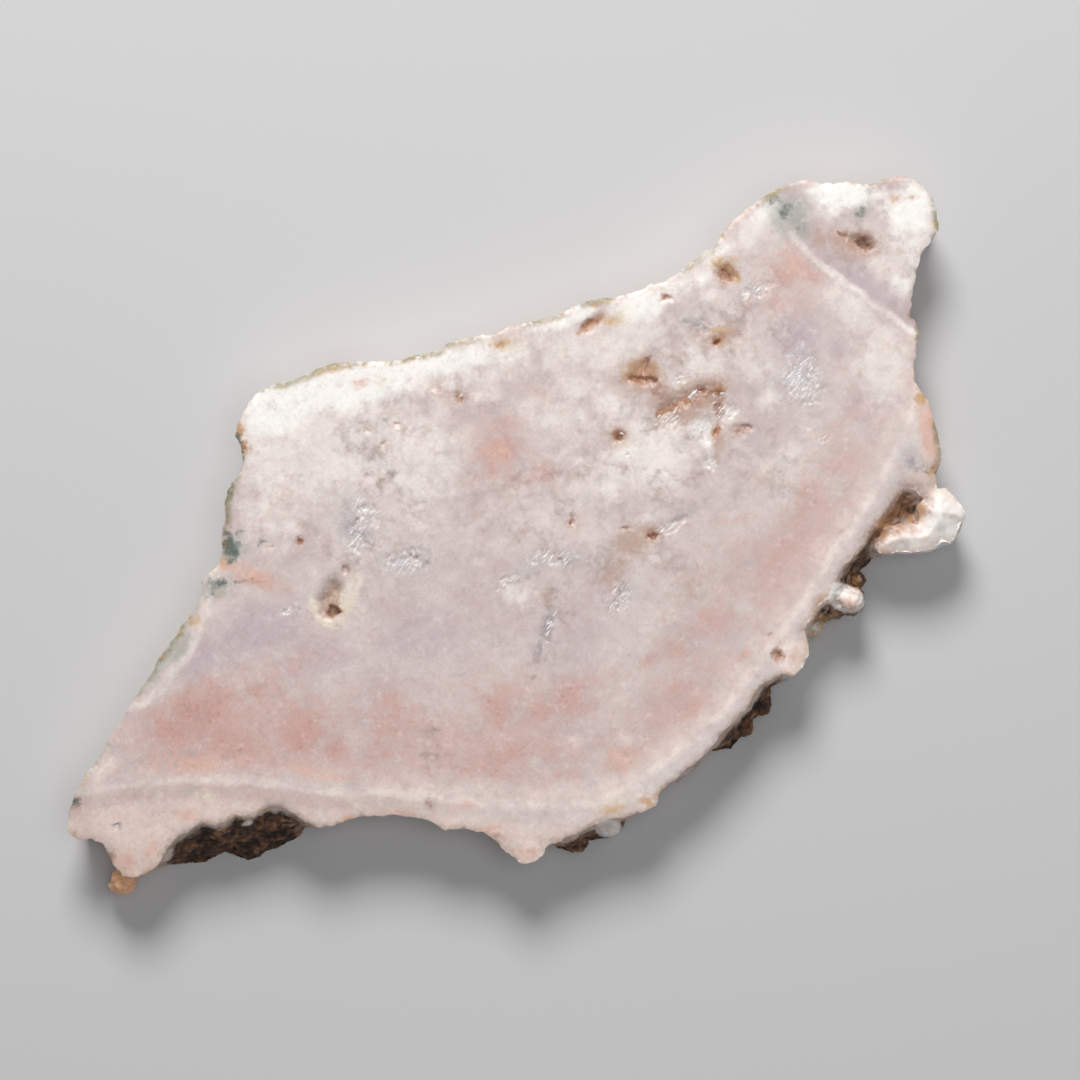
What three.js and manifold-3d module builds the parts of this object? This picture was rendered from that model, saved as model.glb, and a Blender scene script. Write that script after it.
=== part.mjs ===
// A sawn slice of a pink amethyst geode wall, one solid piece of rock, in millimetres.
// It lies flat on its back saw cut, so z = 0 is the back face and z = thickness is the front cut face.
// The side faces are the natural skin of the rock: lumpy, and flared outwards below the face in four
// hollows. Small open pockets lined with quartz points break the two cut faces.
import * as THREE from "three";
import { mergeVertices } from "three/addons/utils/BufferGeometryUtils.js";
import { ImprovedNoise } from "three/addons/math/ImprovedNoise.js";
import Module from "manifold-3d";

// ---- driving dimensions ----
const thickness = 9;
const edgeStep = 1.5; // spacing of the vertices along the rim
const ringDepths = [0, 0.1, 0.28, 0.46, 0.64, 0.82, 1]; // the side's rings, as shares of the thickness
const undercut = 0.9; // how far the back edge of a sheer stretch draws in
const skinRelief = 1.3; // height of the lumps on a sheer stretch
const hollowRelief = 1.1; // height of the lumps in a brown hollow
const skinLumpSize = 2.9; // width of one lump of the natural skin
const outlineTension = 0.5;

// ---- the rim, clockwise seen from the front ----
// Each stretch runs on from the end of the one before. "face" is the edge of the front cut face, and
// "back" the edge of the back face where the skin flares out below the face. A stretch with no "back"
// drops nearly straight down from the face.
const rim = [
  { // left edge, from the foot up to the shoulder
    face: [
      [-53.9, -35.7], [-53.5, -32.4], [-52.3, -30], [-51.5, -28.4], [-50.2, -27.3], [-49.2, -24.8],
      [-47.3, -22.2], [-46.6, -20.8], [-44.9, -18], [-43.9, -17], [-43.5, -15.7], [-41.6, -12.9],
      [-39, -9.3], [-37.9, -8], [-38.1, -6.2], [-37.9, -5.1], [-36.2, -4], [-35.5, -2.4], [-35.7, 0.2],
      [-35.1, 1.2], [-35.2, 4], [-34.5, 5.9], [-33.2, 7.4], [-33, 10], [-34, 11.3], [-33.7, 13.2],
    ],
  },
  { // rounded shoulder and the long top edge
    face: [
      [-33.7, 13.2], [-32.2, 16], [-30.7, 17.4], [-28.6, 18.3], [-26.8, 18.6], [-24.8, 19.6],
      [-21.8, 20.6], [-18, 20.8], [-15.8, 20.7], [-13, 21.4], [-10, 22], [-7.5, 23.4], [-3.5, 24.1],
      [-1, 25], [1.5, 25.5], [4.5, 26.4], [8.5, 28.2], [11.5, 28.5], [13.4, 29], [15.2, 29.7],
      [16, 30.3], [17.4, 30.2], [19, 31.3], [22, 33.7], [23.3, 34], [25, 36.9], [28.6, 40.1], [31, 41.6],
    ],
  },
  { // blunt horn at the upper right
    face: [
      [31, 41.6], [33.4, 42.7], [35.2, 42.9], [36.4, 42.3], [38.5, 42.4], [40.5, 42.5], [42.3, 42],
      [43.5, 42.7], [45.5, 43.2], [47.3, 43], [49.3, 41.7], [50.3, 39.5], [50.7, 37.4], [50.4, 36],
      [48.9, 34.2],
    ],
  },
  { // right edge
    face: [
      [48.9, 34.2], [48.2, 32.3], [47.4, 28.5], [47.2, 27.2], [48.2, 24.5], [48.2, 23.2], [47.7, 20.5],
      [48, 17.8], [49.5, 15.9], [50.2, 13], [51, 9.4], [50.1, 7.5],
    ],
  },
  { // groove between the face and the thumb
    face: [
      [50.1, 7.5], [50.4, 6], [50.3, 4.9], [49.4, 4.2], [48.3, 4.6], [47.6, 5.6], [46.7, 5.9], [45.1, 3.6],
      [43.3, 1.1], [41, -1.7], [38.4, -4.9], [37.8, -6.3],
    ],
    back: [
      [50.1, 7.5], [50.3, 5.4], [49.9, 3.5], [48.8, 1.8], [47.6, 0.2], [46.2, -0.9], [44.6, -1.9],
      [43.3, -2.9], [42.3, -3.4], [41.9, -4.5], [41.8, -6.2],
    ],
  },
  { // notch below the knuckle
    face: [[37.8, -6.3], [37.7, -7.4], [36.6, -8], [35.6, -9.1], [34.9, -10.6], [34.2, -11.5]],
    back: [
      [41.8, -6.2], [41.9, -7.4], [41, -9.2], [38.6, -10], [37.4, -10.3], [36.6, -11.6], [35.5, -12.8],
    ],
  },
  { // rounded lobe below the notch
    face: [
      [34.2, -11.5], [34.7, -12.7], [35, -13.8], [34.6, -15.3], [33.6, -16.7], [32.4, -17.3],
      [31.6, -16.9],
    ],
    back: [
      [35.5, -12.8], [35.1, -13.8], [34.6, -15.3], [33.7, -16.6], [32.8, -17.5], [32, -17.9],
    ],
  },
  { // brown strip along the lower right
    face: [
      [31.6, -16.9], [30, -17.6], [29, -18.3], [27.2, -21], [24.9, -23.4], [22.9, -25.8], [21.9, -27.1],
      [19.8, -28.7], [17.5, -30.4], [16.9, -31.1],
    ],
    back: [
      [32, -17.9], [30.8, -18.2], [30.5, -20.2], [29.6, -22], [27.9, -23.6], [26.5, -25.1], [24.3, -25.8],
      [22.9, -26.2], [21.8, -27.8], [20.2, -28.9], [19.2, -29.9], [17.9, -30.7], [16.9, -31.4],
    ],
  },
  { // small lobes of the lower edge
    face: [[16.9, -31.1], [17.2, -31.8], [16.4, -32.8], [15.4, -33.3], [14.4, -33.1], [13.6, -33.8]],
  },
  { // brown hollow beside the toe
    face: [
      [13.6, -33.8], [12.3, -34.1], [10.5, -34.2], [9.4, -34.6], [8.8, -35.3], [7.5, -35.6], [6, -36.4],
      [4.5, -37], [3.7, -37.1],
    ],
    back: [
      [13.4, -34.1], [12.6, -35.6], [11.8, -36.4], [9.9, -36.6], [8.6, -37.2], [7.6, -37.7], [6.6, -38.6],
      [5.3, -38.4], [4.2, -38.2], [3.5, -37.9],
    ],
  },
  { // toe and the straight lower edge
    face: [
      [3.7, -37.1], [3.2, -38.3], [2.4, -39.2], [1.2, -39.5], [0.3, -39.4], [-0.8, -38.5], [-2.1, -37.5],
      [-3.2, -36.2], [-4.4, -35.7], [-7, -35.3], [-9, -35.5], [-10.2, -34.5], [-11.8, -34], [-14.5, -33.8],
      [-17, -33.8], [-19.5, -34], [-21.5, -34.8], [-23, -35.2], [-24.5, -35],
    ],
  },
  { // large brown hollow at the lower left
    face: [
      [-24.5, -35], [-25.7, -34.3], [-26.7, -33.5], [-27.9, -32.8], [-29.8, -32.7], [-31.3, -33.2],
      [-32.3, -33.8], [-34.1, -33.6], [-35.4, -34.7], [-36.8, -34.8], [-38, -34.5], [-39.2, -35.5],
      [-40.5, -36], [-41.5, -37], [-42.2, -38.2], [-42.9, -39.6], [-44.3, -40.6],
    ],
    back: [
      [-24.7, -35.3], [-25.9, -35.6], [-27.1, -36.7], [-28.8, -37.1], [-30, -38.1], [-31.8, -38.8],
      [-35.7, -38.7], [-37.3, -39.2], [-38.8, -39.3], [-40.4, -40.1], [-42.7, -40.8], [-44.4, -41.3],
    ],
  },
  { // foot
    face: [
      [-44.3, -40.6], [-45.6, -41.2], [-47.1, -41], [-48, -40.2], [-48.5, -39.4], [-49.2, -37.9],
      [-50.2, -36.8], [-51.8, -36.6], [-53.3, -36.5], [-53.9, -35.7],
    ],
  },
];

// Rounded lumps of rock that stand out from the side: centre and radii.
const lumps = [
  { at: [50.8, 1.9, 6.2], radii: [2.9, 3.35, 8] }, // thumb: its broad end
  { at: [51, 4.1, 6.4], radii: [1.6, 1.6, 7] }, // thumb: the neck that ties it to the face
  { at: [47.4, -0.5, 6], radii: [4, 1.85, 8] }, // thumb: its stem
  { at: [44.3, -1.3, 6], radii: [1.7, 1.25, 7] },
  { at: [40, -7.9, 5.2], radii: [2.1, 1.9, 3.6] }, // knuckle
  { at: [38.2, -8.7, 3.6], radii: [1.9, 1.5, 3] },
  { at: [46.7, 2.1, 3.4], radii: [1.8, 1.4, 2.7] }, // ledges inside the groove
  { at: [47.3, 4.5, 4.9], radii: [1.3, 1.1, 2.8] },
  { at: [41.1, -5.3, 3.4], radii: [1.1, 1.1, 3] },
  { at: [36, -11, 3.6], radii: [1.3, 1.2, 3.2] },
  { at: [29.5, -20.3, 2.8], radii: [1.3, 1.6, 2.5] }, // brown strip
  { at: [27.2, -23.2, 2.9], radii: [1.6, 1.2, 2.4] },
  { at: [10.9, -35.2, 5.6], radii: [1.6, 1.3, 1.9] }, // pink lump beside the toe
  { at: [7, -37.2, 2.8], radii: [1.7, 1.1, 2.4] },
  { at: [-32.5, -35.2, 5], radii: [1.4, 1.1, 1.7] }, // ledges in the large hollow
  { at: [-36.5, -37.2, 2.9], radii: [1.9, 1.3, 2.1] },
  { at: [-29.2, -35.6, 2.8], radii: [1.8, 1.3, 2.2] },
  { at: [-47.4, -41.5, 4.2], radii: [1.7, 1.9, 2.8] }, // nub under the foot
  { at: [-48.6, -42.4, 3.6], radii: [1, 0.7, 1.5] },
];

// Open pockets: place of the mouth's centre, its half length and half width, depth, turn of the mouth
// in degrees, and how many quartz points line the wall.
const facePockets = [
  { at: [-22.4, -8.2], reach: [2.7, 1.5], depth: 4.2, turn: 72, points: 8 }, // largest, left of centre
  { at: [-22.5, -9.1], reach: [1.1, 0.9], depth: 5.8, turn: 0, points: 0 },
  { at: [-20.7, -4.6], reach: [1.1, 0.6], depth: 1.9, turn: 60, points: 2 },
  { at: [15.1, 20.3], reach: [1.3, 0.45], depth: 2.4, turn: 58, points: 2 }, // three-armed pocket
  { at: [13.9, 18.8], reach: [1.2, 0.5], depth: 3, turn: 10, points: 2 },
  { at: [15.6, 18.4], reach: [1.2, 0.5], depth: 3.4, turn: -12, points: 2 },
  { at: [17.6, 14.9], reach: [1.3, 0.7], depth: 2.2, turn: 38, points: 3 }, // chain of pockets
  { at: [19.9, 16.3], reach: [1.7, 0.8], depth: 2.6, turn: 30, points: 3 },
  { at: [22.3, 17.3], reach: [1.2, 0.7], depth: 4.4, turn: 8, points: 3 },
  { at: [24, 16.8], reach: [1.2, 0.8], depth: 3, turn: 80, points: 3 },
  { at: [23.9, 13.4], reach: [1.5, 0.5], depth: 2.4, turn: 80, points: 3 },
  { at: [26.9, 12.6], reach: [1.5, 0.6], depth: 2, turn: 12, points: 3 },
  { at: [12.1, 11.6], reach: [0.9, 0.7], depth: 2.2, turn: -40, points: 2 },
  { at: [23.9, 23.3], reach: [0.9, 0.6], depth: 2, turn: 60, points: 2 },
  { at: [22.2, 25.2], reach: [1.3, 0.6], depth: 1.8, turn: -20, points: 2 },
  { at: [25, 31.5], reach: [1.5, 1], depth: 2.6, turn: -30, points: 3 },
  { at: [9.3, 25.9], reach: [1.5, 0.5], depth: 1.9, turn: 62, points: 1 }, // notch near the top edge
  { at: [8, 25], reach: [1.3, 0.4], depth: 1.6, turn: 30, points: 1 },
  { at: [41.5, 35.2], reach: [1.4, 0.8], depth: 3, turn: -10, points: 3 }, // in the horn
  { at: [-7.1, 16.4], reach: [1, 0.6], depth: 1.3, turn: 20, points: 3 },
  { at: [16.2, -0.1], reach: [1.1, 0.6], depth: 2.2, turn: 15, points: 2 },
  { at: [13.2, 0.8], reach: [0.7, 0.5], depth: 1.6, turn: 0, points: 1 },
  { at: [5.1, -3.1], reach: [1, 0.5], depth: 1.5, turn: 10, points: 2 },
  { at: [12.1, -7.8], reach: [1.1, 0.7], depth: 1.4, turn: 35, points: 3 },
  { at: [-26.2, -0.8], reach: [0.6, 0.5], depth: 1.3, turn: 0, points: 1 },
  { at: [-19.1, -0.9], reach: [1.2, 0.6], depth: 1.3, turn: 60, points: 3 },
  { at: [34.3, 18.4], reach: [1.5, 0.9], depth: 1.4, turn: 70, points: 5 }, // sparkling patch, upper right
  { at: [31.2, -14.4], reach: [0.9, 0.6], depth: 1.6, turn: -20, points: 0 }, // pit in the lobe
];
const backPockets = [
  { at: [-20.6, -7.6], reach: [1.6, 1], depth: 1.9, turn: 60, points: 3 },
  { at: [-3.5, 8], reach: [1.3, 0.6], depth: 1.8, turn: -25, points: 3 },
  { at: [20.5, 15], reach: [2.1, 0.9], depth: 2.4, turn: 35, points: 4 },
  { at: [25.5, 19.6], reach: [1.1, 0.8], depth: 1.9, turn: 0, points: 3 },
  { at: [38, 30.5], reach: [1.2, 0.7], depth: 1.7, turn: 20, points: 3 },
  { at: [9.5, -6], reach: [1.4, 0.6], depth: 1.5, turn: 50, points: 3 },
];
const quartz = { radius: 0.42, length: 1.3, sides: 6, rooted: 0.35, headroom: 0.2 };

// ---- helpers ----
const noise = new ImprovedNoise();
const roughness = (x, y, z, size) => noise.noise(x / size + 31.7, y / size + 17.3, z / size + 5.9);

function seededRandom(seed) {
  let state = seed;
  return () => {
    state = (state * 1664525 + 1013904223) % 4294967296;
    return state / 4294967296;
  };
}

const wasm = await Module();
wasm.setup();

function solidOf(geometry) {
  const bare = geometry.index ? geometry.clone() : geometry;
  for (const name of Object.keys(bare.attributes)) {
    if (name !== "position") bare.deleteAttribute(name);
  }
  const merged = mergeVertices(bare, 1e-4);
  return new wasm.Manifold(new wasm.Mesh({
    numProp: 3,
    vertProperties: new Float32Array(merged.attributes.position.array),
    triVerts: new Uint32Array(merged.index.array),
  }));
}

function geometryOf(solid) {
  const mesh = solid.getMesh();
  const geometry = new THREE.BufferGeometry();
  geometry.setAttribute("position", new THREE.BufferAttribute(mesh.vertProperties, 3));
  geometry.setIndex(new THREE.BufferAttribute(mesh.triVerts, 1));
  return geometry;
}

// ---- the plate with its natural skin ----

// Evenly spaced points along a smooth curve through the stretch's points, without its last point.
function alongStretch(points, count) {
  const flat = points.map(([x, y]) => new THREE.Vector3(x, y, 0));
  const curve = new THREE.CatmullRomCurve3(flat, false, "catmullrom", outlineTension);
  return curve.getSpacedPoints(count).slice(0, count);
}

function stretchLength(points) {
  let length = 0;
  for (let i = 1; i < points.length; i += 1) {
    length += Math.hypot(points[i][0] - points[i - 1][0], points[i][1] - points[i - 1][1]);
  }
  return length;
}

// Outward direction at each point of a closed outline, smoothed so that sharp corners don't cross.
function outwardDirections(loop, spread) {
  return loop.map((point, i) => {
    const ahead = loop[(i + spread) % loop.length];
    const behind = loop[(i - spread + loop.length) % loop.length];
    const along = new THREE.Vector3().subVectors(ahead, behind).normalize();
    return new THREE.Vector3(-along.y, along.x, 0);
  });
}

// The stations around the rim: the face's edge, the back's edge, and whether it lies in a hollow.
function rimStations() {
  const face = [];
  const back = [];
  const flared = [];
  for (const stretch of rim) {
    const count = Math.max(3, Math.round(stretchLength(stretch.face) / edgeStep));
    const facePoints = alongStretch(stretch.face, count);
    const backPoints = stretch.back ? alongStretch(stretch.back, count) : facePoints;
    for (let i = 0; i < count; i += 1) {
      face.push(facePoints[i]);
      back.push(backPoints[i].clone());
      flared.push(stretch.back ? Math.sin(Math.PI * Math.min(1, (i + 0.5) / count)) ** 0.4 : 0);
    }
  }
  const outward = outwardDirections(face, 3);
  back.forEach((point, i) => point.addScaledVector(outward[i], -undercut * (1 - flared[i])));
  return { face, back, flared, outward };
}

// Triangles that close a ring of the plate with a flat face turned up or down.
function capTriangles(positions, start, count, facesUp) {
  const outline = [];
  for (let i = start; i < start + count; i += 1) {
    outline.push(new THREE.Vector2(positions[3 * i], positions[3 * i + 1]));
  }
  const triangles = THREE.ShapeUtils.triangulateShape(outline, []);
  const turnsUp = triangles.reduce((area, [a, b, c]) => (
    area + THREE.ShapeUtils.area([outline[a], outline[b], outline[c]])
  ), 0) > 0;
  return triangles.flatMap(([a, b, c]) => (
    turnsUp === facesUp ? [start + a, start + b, start + c] : [start + a, start + c, start + b]
  ));
}

function plateSolid() {
  const { face, back, flared, outward } = rimStations();
  const count = face.length;
  const positions = [];
  ringDepths.forEach((depth, ring) => {
    const z = thickness * (1 - depth);
    for (let i = 0; i < count; i += 1) {
      const point = face[i].clone().lerp(back[i], depth ** 0.8);
      if (ring > 0) {
        const relief = THREE.MathUtils.lerp(skinRelief, hollowRelief, flared[i]);
        const swell = roughness(point.x, point.y, z, skinLumpSize) * relief;
        point.addScaledVector(outward[i], Math.min(swell, (1 - flared[i]) * depth * undercut + flared[i]));
      }
      positions.push(point.x, point.y, z);
    }
  });
  const triangles = [];
  for (let ring = 0; ring + 1 < ringDepths.length; ring += 1) {
    for (let i = 0; i < count; i += 1) {
      const next = (i + 1) % count;
      const [a, b] = [ring * count + i, ring * count + next];
      const [c, d] = [a + count, b + count];
      if ((ring + i) % 2) triangles.push(a, b, c, b, d, c);
      else triangles.push(a, b, d, a, d, c);
    }
  }
  triangles.push(...capTriangles(positions, 0, count, true));
  triangles.push(...capTriangles(positions, (ringDepths.length - 1) * count, count, false));
  const geometry = new THREE.BufferGeometry();
  geometry.setAttribute("position", new THREE.Float32BufferAttribute(positions, 3));
  geometry.setIndex(triangles);
  return solidOf(geometry);
}

// ---- lumps, pockets and quartz points ----

// A rounded blob with an uneven surface.
function blobSolid(radii, detail, unevenness, seed) {
  const geometry = new THREE.IcosahedronGeometry(1, detail);
  const position = geometry.attributes.position;
  for (let i = 0; i < position.count; i += 1) {
    const [x, y, z] = [position.getX(i), position.getY(i), position.getZ(i)];
    const swell = 1 + unevenness * noise.noise(1.7 * x + seed, 1.7 * y + 2.3 * seed, 1.7 * z + 7.1);
    position.setXYZ(i, x * radii[0] * swell, y * radii[1] * swell, z * radii[2] * swell);
  }
  return solidOf(geometry);
}

function lumpSolid(lump, index) {
  const large = lump.radii[0] > 2.5;
  const blob = blobSolid(lump.radii, large ? 2 : 1, 0.3, 3.17 * (index + 1));
  return blob.translate(lump.at);
}

// The hollow of a pocket: half an uneven egg below the mouth. "up" is 1 on the face, -1 on the back.
function pocketSolid(pocket, index, up) {
  const [length, width] = pocket.reach;
  const detail = length > 1.6 ? 2 : 1;
  const blob = blobSolid([length, width, pocket.depth], detail, 0.55, 5.31 * (index + 1));
  const level = up > 0 ? thickness : 0;
  return blob.rotate([0, 0, pocket.turn]).translate([pocket.at[0], pocket.at[1], level]);
}

// One quartz point: a six-sided pyramid from the origin up along +Z.
function quartzSolid(radius, length) {
  const profile = [
    new THREE.Vector2(0, 0),
    new THREE.Vector2(radius, 0),
    new THREE.Vector2(0, length),
  ];
  const geometry = new THREE.LatheGeometry(profile, quartz.sides);
  geometry.rotateX(Math.PI / 2);
  return solidOf(geometry);
}

// The quartz points of a pocket stand on its wall and lean in towards the open middle.
function quartzPoints(pocket, index, up) {
  const random = seededRandom(97 + 131 * index + (up > 0 ? 0 : 7));
  const [length, width] = pocket.reach;
  const turn = THREE.MathUtils.degToRad(pocket.turn);
  const points = [];
  for (let i = 0; i < pocket.points; i += 1) {
    const angle = (2 * Math.PI * (i + 0.6 * random())) / pocket.points;
    const depth = pocket.depth * (0.42 + 0.3 * random());
    const shrink = Math.sqrt(1 - (depth / pocket.depth) ** 2) * 1.08;
    const wall = new THREE.Vector3(length * shrink * Math.cos(angle), width * shrink * Math.sin(angle), 0);
    wall.applyAxisAngle(new THREE.Vector3(0, 0, 1), turn);
    const lean = new THREE.Vector3(-wall.x, -wall.y, 0).normalize();
    lean.z = up * (0.7 + 0.7 * random());
    lean.normalize();
    const size = 0.75 + 0.5 * random();
    const room = Math.min(width * 1.1, (depth - quartz.headroom) / Math.abs(lean.z));
    const crystalLength = Math.min(quartz.length * size, room + quartz.rooted);
    const level = (up > 0 ? thickness : 0) - up * depth;
    const foot = new THREE.Vector3(pocket.at[0] + wall.x, pocket.at[1] + wall.y, level);
    foot.addScaledVector(lean, -quartz.rooted);
    const turnUp = new THREE.Quaternion().setFromUnitVectors(new THREE.Vector3(0, 0, 1), lean);
    const placed = new THREE.Matrix4().compose(foot, turnUp, new THREE.Vector3(1, 1, 1));
    points.push(quartzSolid(quartz.radius * size, crystalLength).transform(placed.toArray()));
  }
  return points;
}

// A slab that trims whatever stands beyond a saw cut.
function trimSolid(lowZ, highZ) {
  const slab = new THREE.BoxGeometry(160, 140, highZ - lowZ);
  slab.translate(0, 0, (lowZ + highZ) / 2);
  return solidOf(slab);
}

// The rock's own skin, without any gap that a lump happened to seal off inside it.
function outerBody(rock) {
  return rock.decompose().reduce((largest, body) => (
    body.volume() > largest.volume() ? body : largest
  ));
}

function sliceSolid() {
  const joined = (first, second) => first.add(second);
  let rock = lumps.map(lumpSolid).reduce(joined, plateSolid());
  facePockets.forEach((pocket, i) => { rock = rock.subtract(pocketSolid(pocket, i, 1)); });
  backPockets.forEach((pocket, i) => { rock = rock.subtract(pocketSolid(pocket, i, -1)); });
  facePockets.forEach((pocket, i) => { rock = quartzPoints(pocket, i, 1).reduce(joined, rock); });
  backPockets.forEach((pocket, i) => { rock = quartzPoints(pocket, i, -1).reduce(joined, rock); });
  rock = rock.subtract(trimSolid(thickness, 2 * thickness)).subtract(trimSolid(-thickness, 0));
  return outerBody(rock);
}

// ---- the slice, centred over the origin ----
function slice() {
  const geometry = geometryOf(sliceSolid());
  geometry.computeBoundingBox();
  const middle = geometry.boundingBox.getCenter(new THREE.Vector3());
  geometry.translate(-middle.x, -middle.y, 0);
  const material = new THREE.MeshStandardMaterial({ color: 0xd6bab4, roughness: 0.45, metalness: 0 });
  const mesh = new THREE.Mesh(geometry, material);
  mesh.name = "slice";
  return mesh;
}

const part = new THREE.Group();
part.add(slice());
export default part;
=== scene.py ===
import math

import bpy
import numpy as np
from mathutils import Matrix, Vector, kdtree, noise
from mathutils.bvhtree import BVHTree
from mathutils.geometry import delaunay_2d_cdt


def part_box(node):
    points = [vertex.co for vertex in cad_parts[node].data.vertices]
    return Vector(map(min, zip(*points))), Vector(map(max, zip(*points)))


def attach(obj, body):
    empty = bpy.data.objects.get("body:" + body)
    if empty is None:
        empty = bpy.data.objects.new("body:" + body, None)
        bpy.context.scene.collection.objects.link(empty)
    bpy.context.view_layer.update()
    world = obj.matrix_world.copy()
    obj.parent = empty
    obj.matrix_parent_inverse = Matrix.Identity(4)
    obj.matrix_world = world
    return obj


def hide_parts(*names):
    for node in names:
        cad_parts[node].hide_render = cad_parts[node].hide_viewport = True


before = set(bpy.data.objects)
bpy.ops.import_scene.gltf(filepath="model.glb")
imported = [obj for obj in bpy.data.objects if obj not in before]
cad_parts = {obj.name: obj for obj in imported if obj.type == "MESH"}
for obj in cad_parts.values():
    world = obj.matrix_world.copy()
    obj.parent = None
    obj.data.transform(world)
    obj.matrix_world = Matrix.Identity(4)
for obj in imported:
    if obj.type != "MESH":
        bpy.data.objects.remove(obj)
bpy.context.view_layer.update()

# A sawn slice of a pink amethyst geode wall, lying on its back saw cut. The camera looks down on it.
# Lengths below are in millimetres, measured from the middle of the slice's outline, unless a name
# ends in _m.
MM = 0.001
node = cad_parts["slice"]
box_low, box_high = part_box("slice")
THICKNESS = (box_high.z - box_low.z) / MM
MIDDLE_X = (box_low.x + box_high.x) / 2 / MM
MIDDLE_Y = (box_low.y + box_high.y) / 2 / MM

# ---- mesh fineness ----
FACE_STEP = 0.7       # spacing of the vertices on the flat front cut
BACK_STEP = 1.2       # on the flat back cut
POCKET_STEP = 0.16    # and where a cut is broken by a pocket
SKIN_STEP = 0.52      # longest edge on the natural skin
HOLLOW_STEP = 0.34    # longest edge in the brown hollows
ROUGH_SKIN = 0.32     # relief of the natural skin
ROUGH_HOLLOW = 0.42   # relief of the brown crust
FIRST_STEP = 1.1      # longest edge on the skin while its CAD facets are smoothed away
SMOOTH_ROUNDS = 3
HOLLOW_FLARE = 0.7    # how far outside the front outline the skin counts as a hollow
CALM_SHARE = 0.7      # how much of the relief a calm patch of skin takes away
ON_CUT = 1e-3         # how near to the level of a saw cut counts as lying on it


# ---- small geometry helpers ----
def unit(value):
    """A number held between 0 and 1."""
    return min(1.0, max(0.0, value))


def cut_level(up):
    """The height of the front cut where up is 1, and of the back cut where it is -1."""
    return THICKNESS if up > 0 else 0.0


def ellipse_weight(points, patch):
    """How strongly each point lies in a soft ellipse: (x, y, half length, half width, turn, strength)."""
    x, y, length, width, turn, strength = patch
    angle = math.radians(turn)
    dx, dy = points[:, 0] - x, points[:, 1] - y
    along = (dx * math.cos(angle) + dy * math.sin(angle)) / length
    across = (-dx * math.sin(angle) + dy * math.cos(angle)) / width
    return strength * np.exp(-1.1 * (along ** 2 + across ** 2))


def patch_weight(points, patches):
    """The strongest of several soft ellipses at each point."""
    weight = np.zeros(len(points))
    for patch in patches:
        weight = np.maximum(weight, ellipse_weight(points, patch))
    return weight


def line_distance(points, line):
    """Distance from each point to an open line of straight segments, positive on its left."""
    line = np.asarray(line, float)
    nearest = np.full(len(points), 1e9)
    side = np.ones(len(points))
    for start, end in zip(line[:-1], line[1:]):
        run = end - start
        length = max(float(run @ run), 1e-12)
        offset = points - start
        share = np.clip((offset @ run) / length, 0, 1)
        gap = offset - share[:, None] * run
        distance = np.hypot(gap[:, 0], gap[:, 1])
        closer = distance < nearest
        nearest[closer] = distance[closer]
        turn = run[0] * offset[:, 1] - run[1] * offset[:, 0]
        side[closer] = np.where(turn[closer] >= 0, 1, -1)
    return nearest * side


def search_tree(points):
    """A nearest-point search over points in space, or over plan points at height 0."""
    tree = kdtree.KDTree(len(points))
    for i, point in enumerate(points):
        tree.insert((*point, 0)[:3], i)
    tree.balance()
    return tree


def outline_gap(points, outline):
    """Distance from each plan point to a closed outline of short segments."""
    ends = np.roll(outline, -1, axis=0)
    dense = np.concatenate([outline + (ends - outline) * share for share in np.arange(5) / 5])
    tree = search_tree(dense)
    return np.array([tree.find((x, y, 0))[2] for x, y in points])


def inside(points, loops):
    """Even-odd test of each point against closed loops."""
    within = np.zeros(len(points), bool)
    for loop in loops:
        loop = np.asarray(loop, float)
        x, y = points[:, 0], points[:, 1]
        for (ax, ay), (bx, by) in zip(loop, np.roll(loop, -1, axis=0)):
            spans = (ay > y) != (by > y)
            if spans.any():
                crossing = ax + (y - ay) * (bx - ax) / ((by - ay) or 1e-12)
                within ^= spans & (x < crossing)
    return within


# ---- the slice's mesh, refined from the frame ----
def frame_arrays():
    """The CAD solid's vertices in millimetres, each of them once, and its triangles."""
    mesh = node.data
    mesh.calc_loop_triangles()
    places = np.zeros(len(mesh.vertices) * 3)
    mesh.vertices.foreach_get("co", places)
    verts, index = np.unique(places.reshape(-1, 3), axis=0, return_inverse=True)
    corners = np.array([triangle.vertices[:] for triangle in mesh.loop_triangles])
    return verts / MM, index.reshape(-1)[corners]


def edge_list(faces):
    """The directed edges of triangles, three rows to a face."""
    return faces[:, [0, 1, 1, 2, 2, 0]].reshape(-1, 2)


def natural_skin(verts, faces):
    """The side faces alone: the largest patch of the solid that is on neither saw cut."""
    heights = verts[faces][:, :, 2]
    sides = faces[(heights.min(1) < THICKNESS - ON_CUT) & (heights.max(1) > ON_CUT)]
    owners = {}
    for i, edge in enumerate(np.sort(edge_list(sides), axis=1)):
        owners.setdefault(tuple(edge), []).append(i // 3)
    neighbours = [[] for _ in sides]
    for shared in owners.values():
        for face in shared:
            neighbours[face] += shared
    patch_of = np.full(len(sides), -1)
    for first in range(len(sides)):
        if patch_of[first] >= 0:
            continue
        patch_of[first] = first
        stack = [first]
        while stack:
            for other in neighbours[stack.pop()]:
                if patch_of[other] < 0:
                    patch_of[other] = first
                    stack.append(other)
    patches, sizes = np.unique(patch_of, return_counts=True)
    skin = sides[patch_of == patches[sizes.argmax()]]
    used, index = np.unique(skin, return_inverse=True)
    return verts[used], index.reshape(-1, 3)


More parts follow.
